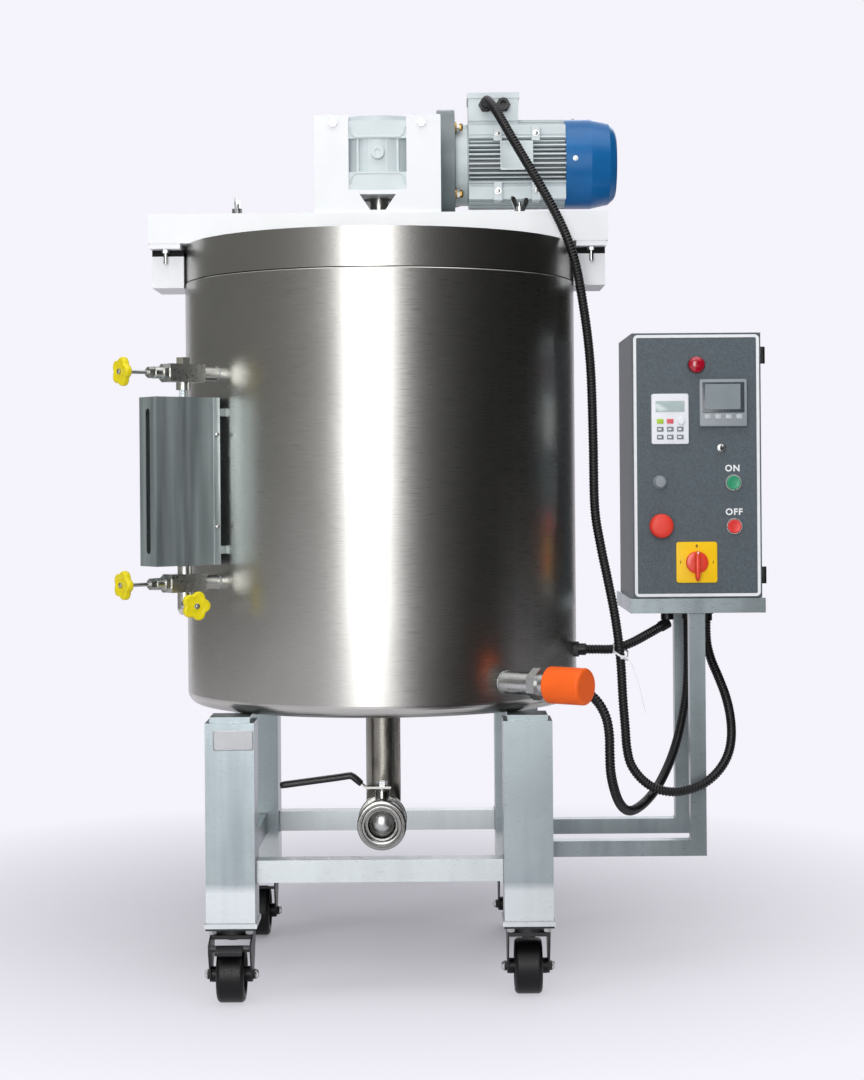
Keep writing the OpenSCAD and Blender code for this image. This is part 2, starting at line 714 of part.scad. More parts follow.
module speed_knob() color("gray") on_panel(speed_at) difference() {
    union() {
        translate([0, 0, -10]) cylinder(r = 4, h = 12);
        translate([0, 0, free_gap]) cylinder(r = knob_r, h = 4);
        translate([0, 0, free_gap]) cylinder(r = knob_r - 2, h = 16);
    }
    translate([-0.8, 4, 14]) cube([1.6, knob_r, 5]);
}

module push_button(at, tint) color(tint) on_panel(at) {
    translate([0, 0, -8]) cylinder(r = button_r, h = 18);
    translate([0, 0, -19]) cylinder(r = 3.5, h = 12);
}

module on_button() push_button(on_at, "mediumseagreen");

module off_button() push_button(off_at, "tomato");

module estop_button() color("orangered") on_panel(estop_at) {
    translate([0, 0, -14]) cylinder(r = 8, h = 26);
    rotate_extrude() polygon(concat([[0, 10], [estop_r - 4, 10], [estop_r, 13]],
        [for (a = [0 : 15 : 90]) [(estop_r) * cos(a), 17 + 9 * sin(a)]]));
}

module main_switch_knob() color("orangered") on_panel(switch_at, 4) {
    translate([0, 0, -14]) cylinder(r = 4, h = 16);
    translate([0, 0, free_gap]) cylinder(r = switch_r, h = 9);
    translate([0, 0, 9]) linear_extrude(14) {
        translate([-6, -switch_r - pointer]) square([12, 2 * switch_r + pointer - 4]);
        translate([0, switch_r - 4]) circle(r = 6);
        translate([0, -switch_r - pointer]) circle(r = 6);
    }
}

// Tank
module shell_bores(grow) {
    translate([outlet_x, -outlet_y, shell_z0 - 1]) cylinder(r = pipe_r + grow, h = 40);
    at_heater() translate([0, 0, -60]) cylinder(r = element_gap + element_r + seat_fit, h = 90);
    for (z = [gauge_z0, gauge_z1]) at_gauge() translate([shell_r - 20, 0, z]) along_x() cylinder(r = 5,
        h = 40);
}

module outer_shell() color("silver") difference() {
    rotate_extrude($fn = 128) polygon(concat([[0, shell_z0], [shell_r - shell_corner, shell_z0]],
        [for (a = [10 : 10 : 80]) [shell_r - shell_corner * (1 - sin(a)),
            shell_z0 + shell_corner * (1 - cos(a))]],
        [[shell_r, shell_z0 + shell_corner], [shell_r, shell_top - shell_edge],
        [shell_r - shell_edge, shell_top],
        [vessel_r + seat_fit, shell_top], [vessel_r + seat_fit, shell_top - 3], [shell_r - 6, shell_top - 3],
        [shell_r - shell_wall, shell_top - 7], [shell_r - shell_wall, shell_z0 + shell_corner]],
        [for (a = [80 : -10 : 10]) [shell_r - shell_corner + (shell_corner - shell_wall) * sin(a),
            shell_z0 + shell_corner - (shell_corner - shell_wall) * cos(a)]],
        [[shell_r - shell_corner, shell_z0 + shell_wall], [0, shell_z0 + shell_wall]]));
    shell_bores(seat_fit);
}

module inner_vessel() color("silver") difference() {
    translate([0, 0, vessel_z0]) cylinder(r = vessel_r, h = rim_z - band_wall - vessel_z0);
    translate([0, 0, vessel_z0 + vessel_wall]) cylinder(r = vessel_r - vessel_wall, h = rim_z);
    translate([outlet_x, -outlet_y, vessel_z0 - 1]) cylinder(r = pipe_r + seat_fit, h = 20);
}

module lid_area(grow) intersection() {
    box(-lid_half_w - grow, lid_half_w + grow, -band_r - 1, -lid_hinge_y + grow, rim_z, cover_z + 1);
    translate([0, 0, rim_z]) cylinder(r = band_r - lid_lip + grow, h = cover_t);
}

lid_pin_r = 2;
lid_knuckle_r = 4;
lid_pin_z = cover_z + lid_knuckle_r;
lid_hinges = [100 - lid_half_w, lid_half_w - 100];

module lid_knuckle(x0, x1) translate([x0, -lid_hinge_y, lid_pin_z]) along_x() cylinder(r = lid_knuckle_r,
    h = x1 - x0);

module lid_pin(x, grow) translate([x - 22, -lid_hinge_y, lid_pin_z]) along_x()
    cylinder(r = lid_pin_r + grow, h = 44);

module rim_band() color("silver") {
    translate([0, 0, band_z0]) tube(band_r, band_wall, band_h);
    translate([0, 0, rim_z - band_wall]) tube(band_r - band_wall + eps,
        band_r - band_wall - vessel_r + vessel_wall, band_wall);
    difference() {
        translate([0, 0, rim_z]) cylinder(r = band_r, h = cover_t);
        translate([0, 0, rim_z - 1]) cylinder(r = shaft_hole, h = cover_t + 2);
        translate([0, 0, -1]) lid_area(1);
        lid_area(1);
        translate([0, 0, 1]) lid_area(1);
        for (x = lid_hinges) box(x - 24, x + 24, -lid_hinge_y - 6, -lid_hinge_y + 6, rim_z - 1, cover_z + 1);
    }
    for (x = lid_hinges) {
        for (s = [-1, 1]) translate([x, 0, 0]) {
            lid_knuckle(s > 0 ? 10 : -20, s > 0 ? 20 : -10);
            box(s > 0 ? 10 : -20, s > 0 ? 20 : -10, -lid_hinge_y, -lid_hinge_y + 9, rim_z, cover_z);
            box(s > 0 ? 10 : -20, s > 0 ? 20 : -10, -lid_hinge_y, -lid_hinge_y + 4, rim_z, cover_z + 2);
        }
        lid_pin(x, 0);
    }
}

module front_lid() color("silver") difference() {
    union() {
        lid_area(0);
        for (x = lid_hinges) {
            lid_knuckle(x - 10 + free_gap, x + 10 - free_gap);
            box(x - 10 + free_gap, x + 10 - free_gap, -lid_hinge_y - 8, -lid_hinge_y, rim_z, cover_z + 2);
        }
    }
    for (x = lid_hinges) {
        lid_pin(x, run_fit);
        for (s = [-1, 1]) box(x + s * 16 - 6 - free_gap, x + s * 16 + 6 + free_gap, -lid_hinge_y - 6, 0,
            rim_z - 1, cover_z + 5);
    }
}

// Bridge
module bridge_girder() color("white") difference() {
    union() {
        box(-girder_half, girder_half, -girder_d / 2, girder_d / 2, girder_z0, girder_z1);
        both_sides() box(shell_r + free_gap, block_x0 + block_s + 1, -girder_d / 2 + 1, girder_d / 2 - 1,
            plate_z0, girder_z0);
    }
    box(-girder_half + girder_wall, girder_half - girder_wall, -girder_d / 2 + girder_wall,
        girder_d / 2 - girder_wall,
        girder_z0 + girder_wall, girder_z1 - girder_wall);
    translate([0, 0, girder_z0 - 1]) cylinder(r = shaft_hole, h = girder_h + 2);
    for (x = [-1, 1], y = [-1, 1]) translate([x * bolt_x, y * bolt_y, plate_z0 - 1])
        cylinder(r = 4 + seat_fit, h = foot_t + girder_wall + 2);
    for (x = lid_hinges) box(x - 24, x + 24, -girder_d / 2 - 1, -girder_d / 2 + 2, girder_z0 - 1,
        girder_z0 + 6);
}

module bridge_pads() color("black") both_sides() difference() {
    box(block_x0, block_x0 + block_s, -block_d / 2, block_d / 2, pad_z0, plate_z0);
    translate([0, 0, pad_z0 - 1]) cylinder(r = shell_r, h = pad_t + 2);
}

module bridge_blocks() color("white") both_sides() difference() {
    box(block_x0, block_x0 + block_s, -block_d / 2, block_d / 2, block_z0, pad_z0);
    translate([0, 0, block_z0 - 1]) cylinder(r = shell_r, h = block_s + 2);
}

// Drive
bracket_front = -girder_d / 2 + 5;
bracket_back = motor_y + shelf_over;

module gearbox_bracket() color("white") difference() {
    union() {
        box(-bracket_half, bracket_half, bracket_front, bracket_front + bracket_t, girder_z1, gear_z1);
        box(-bracket_half, bracket_half, bracket_front, girder_d / 2 - 4, girder_z1, girder_z1 + bracket_t);
        box(-bracket_half + 8, bracket_half - 8, bracket_front, bracket_back, gear_z0 - 8, gear_z0);
        both_sides() box(bracket_half - 16, bracket_half - 8, bracket_front, girder_d / 2 - 4, girder_z1,
            gear_z0);
    }
    box(-window_half, window_half, bracket_front - 1, bracket_front + bracket_t, gear_z0, gear_z1 + 1);
    translate([0, bracket_front - 1, 0]) rotate([90, 0, 0]) mirror([0, 0, 1]) linear_extrude(bracket_t + 1)
        polygon([[-41, gear_z0 + 1], [41, gear_z0 + 1], [11, girder_z1], [-11, girder_z1]]);
    translate([0, 0, girder_z1 - 1]) cylinder(r = shaft_hole, h = shelf_h + 2);
}

chamber_r = wheel_tip_r + 8;
chamber_wall = 7;
housing_half = 96;
wheel_w2 = 34;
bearing_r = 32;

gear_front = bracket_front + bracket_t + free_gap;
cap_h = 34;

module gear_cap(z0, z1) translate([0, 0, z0]) linear_extrude(z1 - z0) {
    translate([-housing_half + 16, gear_front]) square([2 * housing_half - 32, motor_y - gear_front]);
    translate([-housing_half, gear_front + 16]) square([2 * housing_half, motor_y - gear_front - 16]);
    for (x = [-1, 1]) translate([x * (housing_half - 16), gear_front + 16]) circle(r = 16);
}

module gearbox_housing() color("lightgray") difference() {
    union() {
        translate([0, 0, gear_z0]) cylinder(r = chamber_r + chamber_wall, h = gear_h);
        gear_cap(gear_z0, gear_z0 + cap_h);
        gear_cap(gear_z1 - cap_h - 10, gear_z1 - 10);
        for (x = [-38, -16, 16, 38]) box(x - 2, x + 2, gear_front + 4, 0, gear_z0 + 20, gear_z1 - 20);
        at_motor(-housing_half) cylinder(r = 46, h = housing_half + input_x);
        box(-housing_half, housing_half, motor_y - 40, motor_y + 46, gear_z0, motor_z);
        at_motor(input_x) cylinder(r = flange_r, h = flange_t);
        translate([0, gear_front + 14, motor_z]) along_front() cylinder(r = 13, h = 16);
        translate([0, gear_front - 2, motor_z]) along_front() hexagon(17, 4);
    }
    translate([0, 0, motor_z - 24]) cylinder(r = chamber_r, h = 48);
    translate([0, 0, gear_z0 - 1]) cylinder(r = bearing_r, h = gear_h + 2);
    at_motor(-housing_half + 10) cylinder(r = bearing_r - 6, h = housing_half + input_x + flange_t);
}

module worm_wheel() color("goldenrod") difference() {
    translate([0, 0, motor_z]) union() {
        linear_extrude(wheel_w2, center = true) {
            circle(r = wheel_tip_r - 8);
            for (k = [0 : wheel_teeth - 1]) rotate(k * 360 / wheel_teeth)
                polygon([[wheel_tip_r - 9, -4], [wheel_tip_r - 0.5, -2.2], [wheel_tip_r - 0.5, 2.2],
                    [wheel_tip_r - 9, 4]]);
        }
        cylinder(r = 26, h = gear_h - 12, center = true);
    }
    translate([0, 0, gear_z0 - 1]) cylinder(r = shaft_r, h = gear_h + 2);
}

module ball_race(bore, r, h) tube(r, r - bore, h);

module bearings() color("silver") {
    for (z = [gear_z0 + 6 + free_gap, gear_z1 - 6 - 16 - free_gap]) translate([0, 0, z])
        ball_race(26 + run_fit, bearing_r, 16);
    at_motor(-housing_half + 10) ball_race(rotor_r + run_fit, bearing_r - 6, 14);
    at_motor(input_x - 4) ball_race(rotor_r + run_fit, bearing_r - 6, 14);
    at_motor(fan_x - 12) ball_race(rotor_r + run_fit, 30, 12);
    translate([0, 0, vessel_z0 + vessel_wall]) tube(shaft_r + 12, 12 - run_fit, 26);
}

fins = 30;

module motor_frame() color("lightgray") {
    difference() {
        union() {
            at_motor(flange_x) cylinder(r = flange_r, h = 16);
            at_motor(flange_x) cylinder(r = motor_r - 8, h = body_x - flange_x);
        }
        at_motor(flange_x - 1) cylinder(r = motor_bore - 6, h = 60);
    }
    difference() {
        union() {
            at_motor(body_x) linear_extrude(motor_len) {
                circle(r = motor_r - fin_d);
                for (k = [0 : fins - 1]) rotate(k * 360 / fins) translate([0, -1.5]) square([motor_r, 3]);
            }
            for (x = [48, 122]) {
                box(body_x + x, body_x + x + 16, motor_y - motor_r, motor_y, motor_z + 35, motor_z + 64);
                box(body_x + x, body_x + x + 16, motor_y - motor_r, motor_y, motor_z - 80, motor_z - 45);
            }
            for (y = [-70, 26]) {
                box(body_x, fan_x, motor_y + y, motor_y + y + 44, motor_z + 40, motor_z + 68);
                box(body_x, fan_x, motor_y + y, motor_y + y + 44, motor_z - 76, motor_z - 44);
            }
            box(body_x, body_x + tbox[0], motor_y - 46, motor_y + 46, motor_z, tbox_z);
        }
        at_motor(body_x - 1) cylinder(r = motor_bore, h = motor_len - 12);
        at_motor(body_x - 1) cylinder(r = 30, h = motor_len + 2);
    }
    box(body_x, body_x + tbox[0], motor_y - tbox[1] / 2, motor_y + tbox[1] / 2, tbox_z,
        tbox_z + tbox[2] - tbox_lid);
    box(body_x - 2, body_x + tbox[0] + 2, motor_y - tbox[1] / 2 - 2, motor_y + tbox[1] / 2 + 2,
        tbox_z + tbox[2] - tbox_lid,
        tbox_z + tbox[2]);
}

module fan_cover() color("steelblue") difference() {
    at_motor(fan_x) rotate_extrude() polygon([[motor_r - 3, 0], [motor_r, 0], [motor_r, fan_len * 0.5],
        [motor_r - 8, fan_len - 14], [motor_r - 18, fan_len - 3], [motor_r - 24, fan_len], [0, fan_len],
        [0, fan_len - 3], [motor_r - 25, fan_len - 3], [motor_r - 20, fan_len - 6], [motor_r - 11,
            fan_len - 16],
        [motor_r - 3, fan_len * 0.5]]);
    for (k = [0 : 11], r = [28, 48]) at_motor(fan_end - 10) rotate([0, 0, k * 30]) translate([r, 0, 0])
        cylinder(r = r / 8, h = 20);
}

module rotor_shaft() color("silver") {
    at_motor(-housing_half + 11) cylinder(r = rotor_r, h = fan_end - 24 + housing_half);
    at_motor(-worm_len / 2) tube(worm_r, worm_r - rotor_r, worm_len);
    at_motor(body_x + core_gap) tube(motor_bore - core_gap, motor_bore - core_gap - rotor_r, core_len);
    at_motor(fan_x + 18) {
        tube(24, 24 - rotor_r, 22);
        for (k = [0 : 7]) rotate([0, 0, k * 45]) translate([22, -1.5, 0]) cube([48, 3, 22]);
    }
}

module gland() {
    hexagon(2 * gland_r, 9);
    tube(gland_r - 1, gland_r - 1 - conduit_d / 2 + 3, gland_len);
}

module box_gland(x, y) translate([x, y, tray_z0]) {
    mirror([0, 0, 1]) gland();
    tube(gland_r - 4, gland_r - 4 - entry_r, tray_h - tray_wall);
}

module shell_gland(az, z) difference() {
    rotate([0, 0, az]) translate([shell_r, 0, z]) along_x() {
        translate([0, 0, -6]) hexagon(2 * gland_r, 12);
        gland();
    }
    translate([0, 0, z - 20]) cylinder(r = shell_r, h = 40);
}

module cable_glands() color("black") {
    for (x = [34, 68]) translate([body_x + x, motor_y - tbox[1] / 2, gland_z]) along_front() gland();
    for (p = tray_glands) box_gland(p[0], p[1]);
    translate([elbow_at[0], elbow_at[1], tray_z0 - 14]) cylinder(r = gland_r, h = 14 + tray_h - tray_wall);
    translate(sensor_entry) rotate([0, acos(sensor_axis[2]), atan(0.5)]) cylinder(r = gland_r - 2, h = 18);
    shell_gland(heater_gland_az, heater_gland_z);
    shell_gland(sensor_gland_az, sensor_gland_z);
}

// Agitator
arm_z = [vessel_z0 + vessel_wall + 34, vessel_z0 + 340, rim_z - 90];
upright_x = vessel_r - vessel_wall - 40;
blade_out = vessel_r - vessel_wall - 4;

module agitator() color("silver") {
    translate([0, 0, vessel_z0 + vessel_wall + free_gap]) cylinder(r = shaft_r,
        h = gear_z1 - 10 - vessel_z0 - vessel_wall);
    for (z = arm_z) {
        translate([0, 0, z]) tube(shaft_r + 8, 8, 30);
        both_sides() box(shaft_r + 6, upright_x, -5, 5, z, z + 30);
    }
    both_sides() box(upright_x, upright_x + 12, -15, 15, arm_z[0], arm_z[2] + 30);
}

module scraper_blades() color("white") both_sides() {
    box(upright_x + 12, blade_out, -6, 6, arm_z[0], arm_z[2] + 30);
    box(shaft_r + 24, upright_x + 4, -6, 6, vessel_z0 + vessel_wall + 4, arm_z[0]);
}

// Outlet
module outlet_pipe() color("silver") {
    translate([outlet_x, -outlet_y, valve_z + elbow_r]) tube(pipe_r, pipe_wall,
        vessel_z0 + vessel_wall - valve_z - elbow_r);
    translate([outlet_x, -elbow_end, valve_z + elbow_r]) rotate([0, 90, 0]) rotate_extrude(angle = 90)
        translate([elbow_r, 0]) difference() {
            circle(r = pipe_r);
            circle(r = pipe_r - pipe_wall);
        }
    translate([outlet_x, -elbow_end, valve_z]) along_front() tube(pipe_r, pipe_wall, 2);
}

module at_valve() translate([outlet_x, -ball_y, valve_z]) children();

module valve_body() color("silver") at_valve() difference() {
    union() {
        along_front() cylinder(r = valve_r - 4, h = valve_len, center = true);
        for (s = [-1, 1]) translate([0, s * (valve_len / 2 - 7), 0]) along_front() cylinder(r = valve_r,
            h = 14, center = true);
        cylinder(r = 13, h = valve_r + 14);
    }
    along_front() cylinder(r = valve_bore, h = valve_len + 2, center = true);
    along_front() translate([0, 0, valve_len / 2 - socket_d]) cylinder(r = socket_r, h = socket_d + 1);
    sphere(r = ball_r + free_gap);
    cylinder(r = stem_r + run_fit, h = valve_r + 20);
}

module valve_ball() color("gainsboro") at_valve() {
    difference() {
        sphere(r = ball_r);
        along_x() cylinder(r = valve_bore - 2, h = 100, center = true);
    }
    translate([0, 0, ball_r - 4]) cylinder(r = stem_r, h = valve_r + 28 - ball_r);
    translate([0, 0, lever_z - valve_z + lever_t]) hexagon(17, 9);
}

function lever_line(t) = [[16, t], [-30, t], [-54, lever_rise + t], [-lever_len, lever_rise - 16 + t]];

module lever_profile(lo, hi, start) rotate([90, 0, 0]) linear_extrude(lever_w, center = true)
    polygon(concat(lever_line(lo), [for (i = [3 : -1 : 0]) lever_line(hi)[i]]));

module valve_lever() color("silver") translate([outlet_x, -ball_y, lever_z]) difference() {
    lever_profile(0, lever_t);
    translate([0, 0, -1]) cylinder(r = stem_r + seat_fit, h = lever_t + 2);
}

module lever_grip() color("black") translate([outlet_x, -ball_y, lever_z]) difference() {
    intersection() {
        rotate([90, 0, 0]) linear_extrude(lever_w + 6, center = true) polygon([[-38, 2], [-54,
            lever_rise - 4],
            [-lever_len - 5, lever_rise - 20], [-lever_len - 5, lever_rise - 8], [-50, lever_rise + 9],
                [-32, 10]]);
        box(-lever_len - 5, -36, -30, 30, -20, 60);
    }
    lever_profile(0, lever_t);
}

// Heater
module heater_boss() color("silver") {
    difference() {
        at_heater() {
            translate([0, 0, -30]) cylinder(r = boss_r, h = boss_len + 30);
            translate([0, 0, boss_len - 34]) hexagon(2 * boss_r + 10, 16);
        }
        translate([0, 0, heater_z - 50]) cylinder(r = shell_r, h = 100);
    }
    for (s = [-1, 1]) at_heater() translate([s * element_gap, 0, -element_len]) cylinder(r = element_r,
        h = element_len + 20);
    at_heater() translate([0, 0, -element_len]) rotate([90, 0, 0]) rotate([0, 0, 180])
        rotate_extrude(angle = 180)
        translate([element_gap, 0]) circle(r = element_r);
}

module heater_cap() color("darkorange") at_heater() translate([0, 0, boss_len]) difference() {
    rotate_extrude() polygon(concat([[0, 0], [cap_r - 3, 0], [cap_r, 3]],
        [for (a = [0 : 15 : 90]) [cap_r - 6 + 6 * cos(a), cap_len - 6 + 6 * sin(a)]], [[0, cap_len]]));
    translate([0, 0, 3]) cylinder(r = cap_r - 4, h = cap_len - 7);
}

// Level gauge
module gauge_valve(z) translate([0, 0, z]) {
    difference() {
        along_x() translate([0, 0, shell_r - 20]) cylinder(r = stub_r, h = gauge_gap - 12);
        translate([0, 0, -20]) cylinder(r = shell_r, h = 40);
    }
    box(gauge_rho - 37, gauge_rho + 36, -gauge_block / 2, gauge_block / 2, -gauge_block / 2, gauge_block / 2);
    translate([gauge_rho + 36, 0, 0]) along_x() difference() {
        union() {
            cylinder(r = bonnet_r, h = 26);
            hexagon(28, 10);
            translate([0, 0, 26]) hexagon(18, 12);
        }
        translate([0, 0, 4]) cylinder(r = hand_stem + run_fit, h = 60);
    }
}

module gauge_valves() color("silver") at_gauge() {
    gauge_valve(gauge_z0);
    gauge_valve(gauge_z1);
    for (s = [1, -1]) translate([gauge_rho, 0,
        s > 0 ? gauge_z0 + gauge_block / 2 : gauge_z1 - gauge_block / 2 - 14])
        tube(glass_r + 5, 5 - seat_fit, 14);
    translate([gauge_rho, 0, gauge_z1 + gauge_block / 2]) hexagon(24, 12);
    translate([gauge_rho, 0, 0]) difference() {
        union() {
            translate([0, 0, drain_z - 7]) cylinder(r = 13.5, h = 46 - gauge_block / 2);
            translate([0, 0, drain_z - 7]) sphere(r = 13.5);
            translate([0, 0, drain_z]) rotate([0, 0, drain_turn]) along_x() {
                cylinder(r = bonnet_r, h = 34);
                translate([0, 0, 30]) hexagon(18, 10);
            }
        }
        translate([0, 0, gauge_z0 - 61]) cylinder(r = 7, h = 30);
        translate([0, 0, drain_z]) rotate([0, 0, drain_turn]) along_x() translate([0, 0, 18])
            cylinder(r = hand_stem + run_fit, h = 60);
    }
}

module sight_glass() color("lightcyan") at_gauge() translate([gauge_rho, 0, gauge_z0 + gauge_block / 2])
    tube(glass_r, 2, gauge_span - gauge_block);

module gauge_guard() color("silver") at_gauge() {
    difference() {
        box(guard_in, guard_out, -guard_w / 2, guard_w / 2, guard_z0, guard_z0 + guard_h);
        box(guard_in - 1, guard_out - 1.5, -guard_w / 2 + 1.5, guard_w / 2 - 1.5, guard_z0 - 1,
            guard_z0 + guard_h + 1);
        box(guard_out - 10, guard_out + 10, -7.5, 7.5, guard_z0 + 29.5, guard_z0 + guard_h - 28.5);
        for (z = [guard_z0 + 29.5, guard_z0 + guard_h - 28.5]) translate([guard_out - 10, 0, z]) along_x()
            cylinder(r = 7.5, h = 20);
    }
    for (z = [guard_z0, guard_z0 + guard_h - 1.5]) difference() {
        box(guard_in + 8, guard_out - 1, -guard_w / 2 + 1, guard_w / 2 - 1, z, z + 1.5);
        translate([gauge_rho, 0, z - 1]) cylinder(r = glass_r + 2, h = 4);
    }
    for (z = [guard_z0 + 20, guard_z0 + guard_h - 34], s = [-1, 1]) difference() {
        box(shell_r - 20, guard_in + 22, s > 0 ? guard_w / 2 - 11.5 : -guard_w / 2 + 1.5,
            s > 0 ? guard_w / 2 - 1.5 : -guard_w / 2 + 11.5,
            z, z + 14);
        translate([0, 0, z - 1]) cylinder(r = shell_r, h = 20);
    }
}

module handwheel() {
    linear_extrude(hand_t) {
        circle(r = hand_r - 7);
        for (k = [0 : 4]) rotate(k * 72) translate([hand_r - 10, 0]) circle(r = 10);
    }
    translate([0, 0, -4]) cylinder(r = 9, h = hand_t + 7);
}

module hand_stem_rod(back) translate([0, 0, -back]) cylinder(r = hand_stem, h = back);

module handwheel_side(z) at_gauge() translate([hand_rho, 0, z]) along_x() {
    color("gold") handwheel();
    color("silver") hand_stem_rod(72);
}

module handwheel_upper() handwheel_side(gauge_z1);

module handwheel_lower() handwheel_side(gauge_z0);

module handwheel_drain() at_gauge() translate([gauge_rho, 0, drain_z]) rotate([0, 0, drain_turn]) along_x()
    translate([0, 0, drain_reach]) {
        color("gold") handwheel();
        color("silver") hand_stem_rod(30);
    }

// Conduits
module motor_conduit() color("black") ribbed_tube(motor_route, motor_ribs, conduit_d);

module heater_conduit() color("black") ribbed_tube(heater_route, heater_ribs, conduit_d);

module sensor_conduit() color("black") ribbed_tube(sensor_route, sensor_ribs, conduit_d);

base_frame();
caster_plates();
caster_fork(0);  // caster_fork_fl
caster_fork(1);  // caster_fork_fr
caster_fork(2);  // caster_fork_rl
caster_fork(3);  // caster_fork_rr
caster_wheel(0);  // caster_wheel_fl
caster_wheel(1);  // caster_wheel_fr
caster_wheel(2);  // caster_wheel_rl
caster_wheel(3);  // caster_wheel_rr
brake_pedal(0);  // brake_pedal_fl
brake_pedal(1);  // brake_pedal_fr
fasteners();
panel_stand();
control_box();
panel_door();
pilot_lamp();
keypad();
temperature_controller();
button_bezels();
main_switch_plate();
toggle_lever();
speed_knob();
on_button();
off_button();
estop_button();
main_switch_knob();
outer_shell();
inner_vessel();
rim_band();
front_lid();
bridge_girder();
bridge_pads();
bridge_blocks();
gearbox_bracket();
gearbox_housing();
worm_wheel();
bearings();
motor_frame();
fan_cover();
cable_glands();
rotor_shaft();
agitator();
scraper_blades();
outlet_pipe();
valve_body();
valve_ball();
valve_lever();
lever_grip();
heater_boss();
heater_cap();
gauge_valves();
sight_glass();
gauge_guard();
handwheel_upper();
handwheel_lower();
handwheel_drain();
motor_conduit();
heater_conduit();
sensor_conduit();
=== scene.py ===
import json
import math
import bmesh
import bpy
from mathutils import Matrix, Vector


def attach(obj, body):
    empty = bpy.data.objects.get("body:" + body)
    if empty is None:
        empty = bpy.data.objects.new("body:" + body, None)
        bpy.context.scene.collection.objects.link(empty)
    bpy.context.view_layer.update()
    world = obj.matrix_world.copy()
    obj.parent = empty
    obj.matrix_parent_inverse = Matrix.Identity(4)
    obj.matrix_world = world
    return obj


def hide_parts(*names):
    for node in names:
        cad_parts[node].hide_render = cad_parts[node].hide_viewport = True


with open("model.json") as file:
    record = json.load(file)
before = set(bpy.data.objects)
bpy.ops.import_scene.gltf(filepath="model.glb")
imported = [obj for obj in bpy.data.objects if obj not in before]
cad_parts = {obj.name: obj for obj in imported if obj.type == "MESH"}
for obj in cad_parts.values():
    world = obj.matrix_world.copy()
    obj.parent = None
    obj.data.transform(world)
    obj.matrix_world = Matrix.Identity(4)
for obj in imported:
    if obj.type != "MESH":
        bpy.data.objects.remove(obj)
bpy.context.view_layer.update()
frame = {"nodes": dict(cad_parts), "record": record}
nodes = frame["nodes"]
scene = bpy.context.scene
scene.view_settings.view_transform = "Standard"
print("stage: frame loaded,", len(nodes), "nodes")

# camera at the photograph's place, level, with the small shift of its crop
cameraSet = dict(place=(0.108, -4.176, 0.934), lens=71.73, sensor=36.0, rollDeg=-0.45, shift=(-0.0046, -0.0556))
standUp = Matrix.Rotation(math.radians(90), 4, "X")
camData = bpy.data.cameras.new("camera")
camData.lens = cameraSet["lens"]
camData.sensor_width = cameraSet["sensor"]
camData.shift_x, camData.shift_y = cameraSet["shift"]
camera = bpy.data.objects.new("camera", camData)
roll = Matrix.Rotation(math.radians(cameraSet["rollDeg"]), 4, "Z")
camera.matrix_world = Matrix.Translation(cameraSet["place"]) @ standUp @ roll
scene.collection.objects.link(camera)
scene.camera = camera


# finishes: every one reads Object coordinates
def newFinish(name):
    mat = bpy.data.materials.new(name)
    mat.use_nodes = True
    tree = mat.node_tree
    shader = tree.nodes["Principled BSDF"]
    coords = tree.nodes.new("ShaderNodeTexCoord")
    return mat, tree, shader, coords.outputs["Object"]


def setInputs(node, **inputs):
    for key, value in inputs.items():
        node.inputs[key.replace("_", " ")].default_value = value
    return node


def addNode(tree, kind, **inputs):
    return setInputs(tree.nodes.new(kind), **inputs)


def operate(tree, kind, operation, values):
    node = tree.nodes.new(kind)
    node.operation = operation
    for sock, value in zip(node.inputs, values):
        if isinstance(value, bpy.types.NodeSocket):
            tree.links.new(value, sock)
        else:
            sock.default_value = value
    return node.outputs


def mathOf(tree, operation, *values):
    return operate(tree, "ShaderNodeMath", operation, values)[0]


def distanceFrom(tree, place, centre, keep=(1, 1, 1)):
    shift = operate(tree, "ShaderNodeVectorMath", "SUBTRACT", (place, centre))["Vector"]
    flat = operate(tree, "ShaderNodeVectorMath", "MULTIPLY", (shift, keep))["Vector"]
    return operate(tree, "ShaderNodeVectorMath", "LENGTH", (flat,))["Value"]


def noiseOf(tree, coords, scale, stretch=(1, 1, 1), detail=4.0):
    mapping = addNode(tree, "ShaderNodeMapping", Scale=stretch)
    tree.links.new(coords, mapping.inputs["Vector"])
    noise = addNode(tree, "ShaderNodeTexNoise", Scale=scale, Detail=detail)
    tree.links.new(mapping.outputs["Vector"], noise.inputs["Vector"])
    return noise.outputs["Fac"]


def spread(tree, fac, low, high, fromLow=0.3, fromHigh=0.7):
    node = addNode(tree, "ShaderNodeMapRange", From_Min=fromLow, From_Max=fromHigh, To_Min=low, To_Max=high)
    tree.links.new(fac, node.inputs["Value"])
    return node.outputs["Result"]


def colourMix(tree, fac):
    node = tree.nodes.new("ShaderNodeMix")
    node.data_type = "RGBA"
    tree.links.new(fac, next(s for s in node.inputs if s.name == "Factor" and s.type == "VALUE"))
    under, over = [s for s in node.inputs if s.type == "RGBA"]
    return under, over, next(s for s in node.outputs if s.type == "RGBA")


def tintMix(tree, fac, dark, light):
    under, over, mixed = colourMix(tree, fac)
    under.default_value = (*dark, 1)
    over.default_value = (*light, 1)
    return mixed


def overlay(tree, fac, paint, rgb):
    under, over, mixed = colourMix(tree, fac)
    tree.links.new(paint, under)
    over.default_value = (*linear(rgb), 1)
    return mixed


# sRGB values of 0 to 255 made linear
def linear(rgb):
    return tuple(((c / 255 + 0.055) / 1.055) ** 2.4 if c > 10 else c / 255 / 12.92 for c in rgb)


def shade(rgb, k):
    return tuple(min(1.0, c * k) for c in rgb)


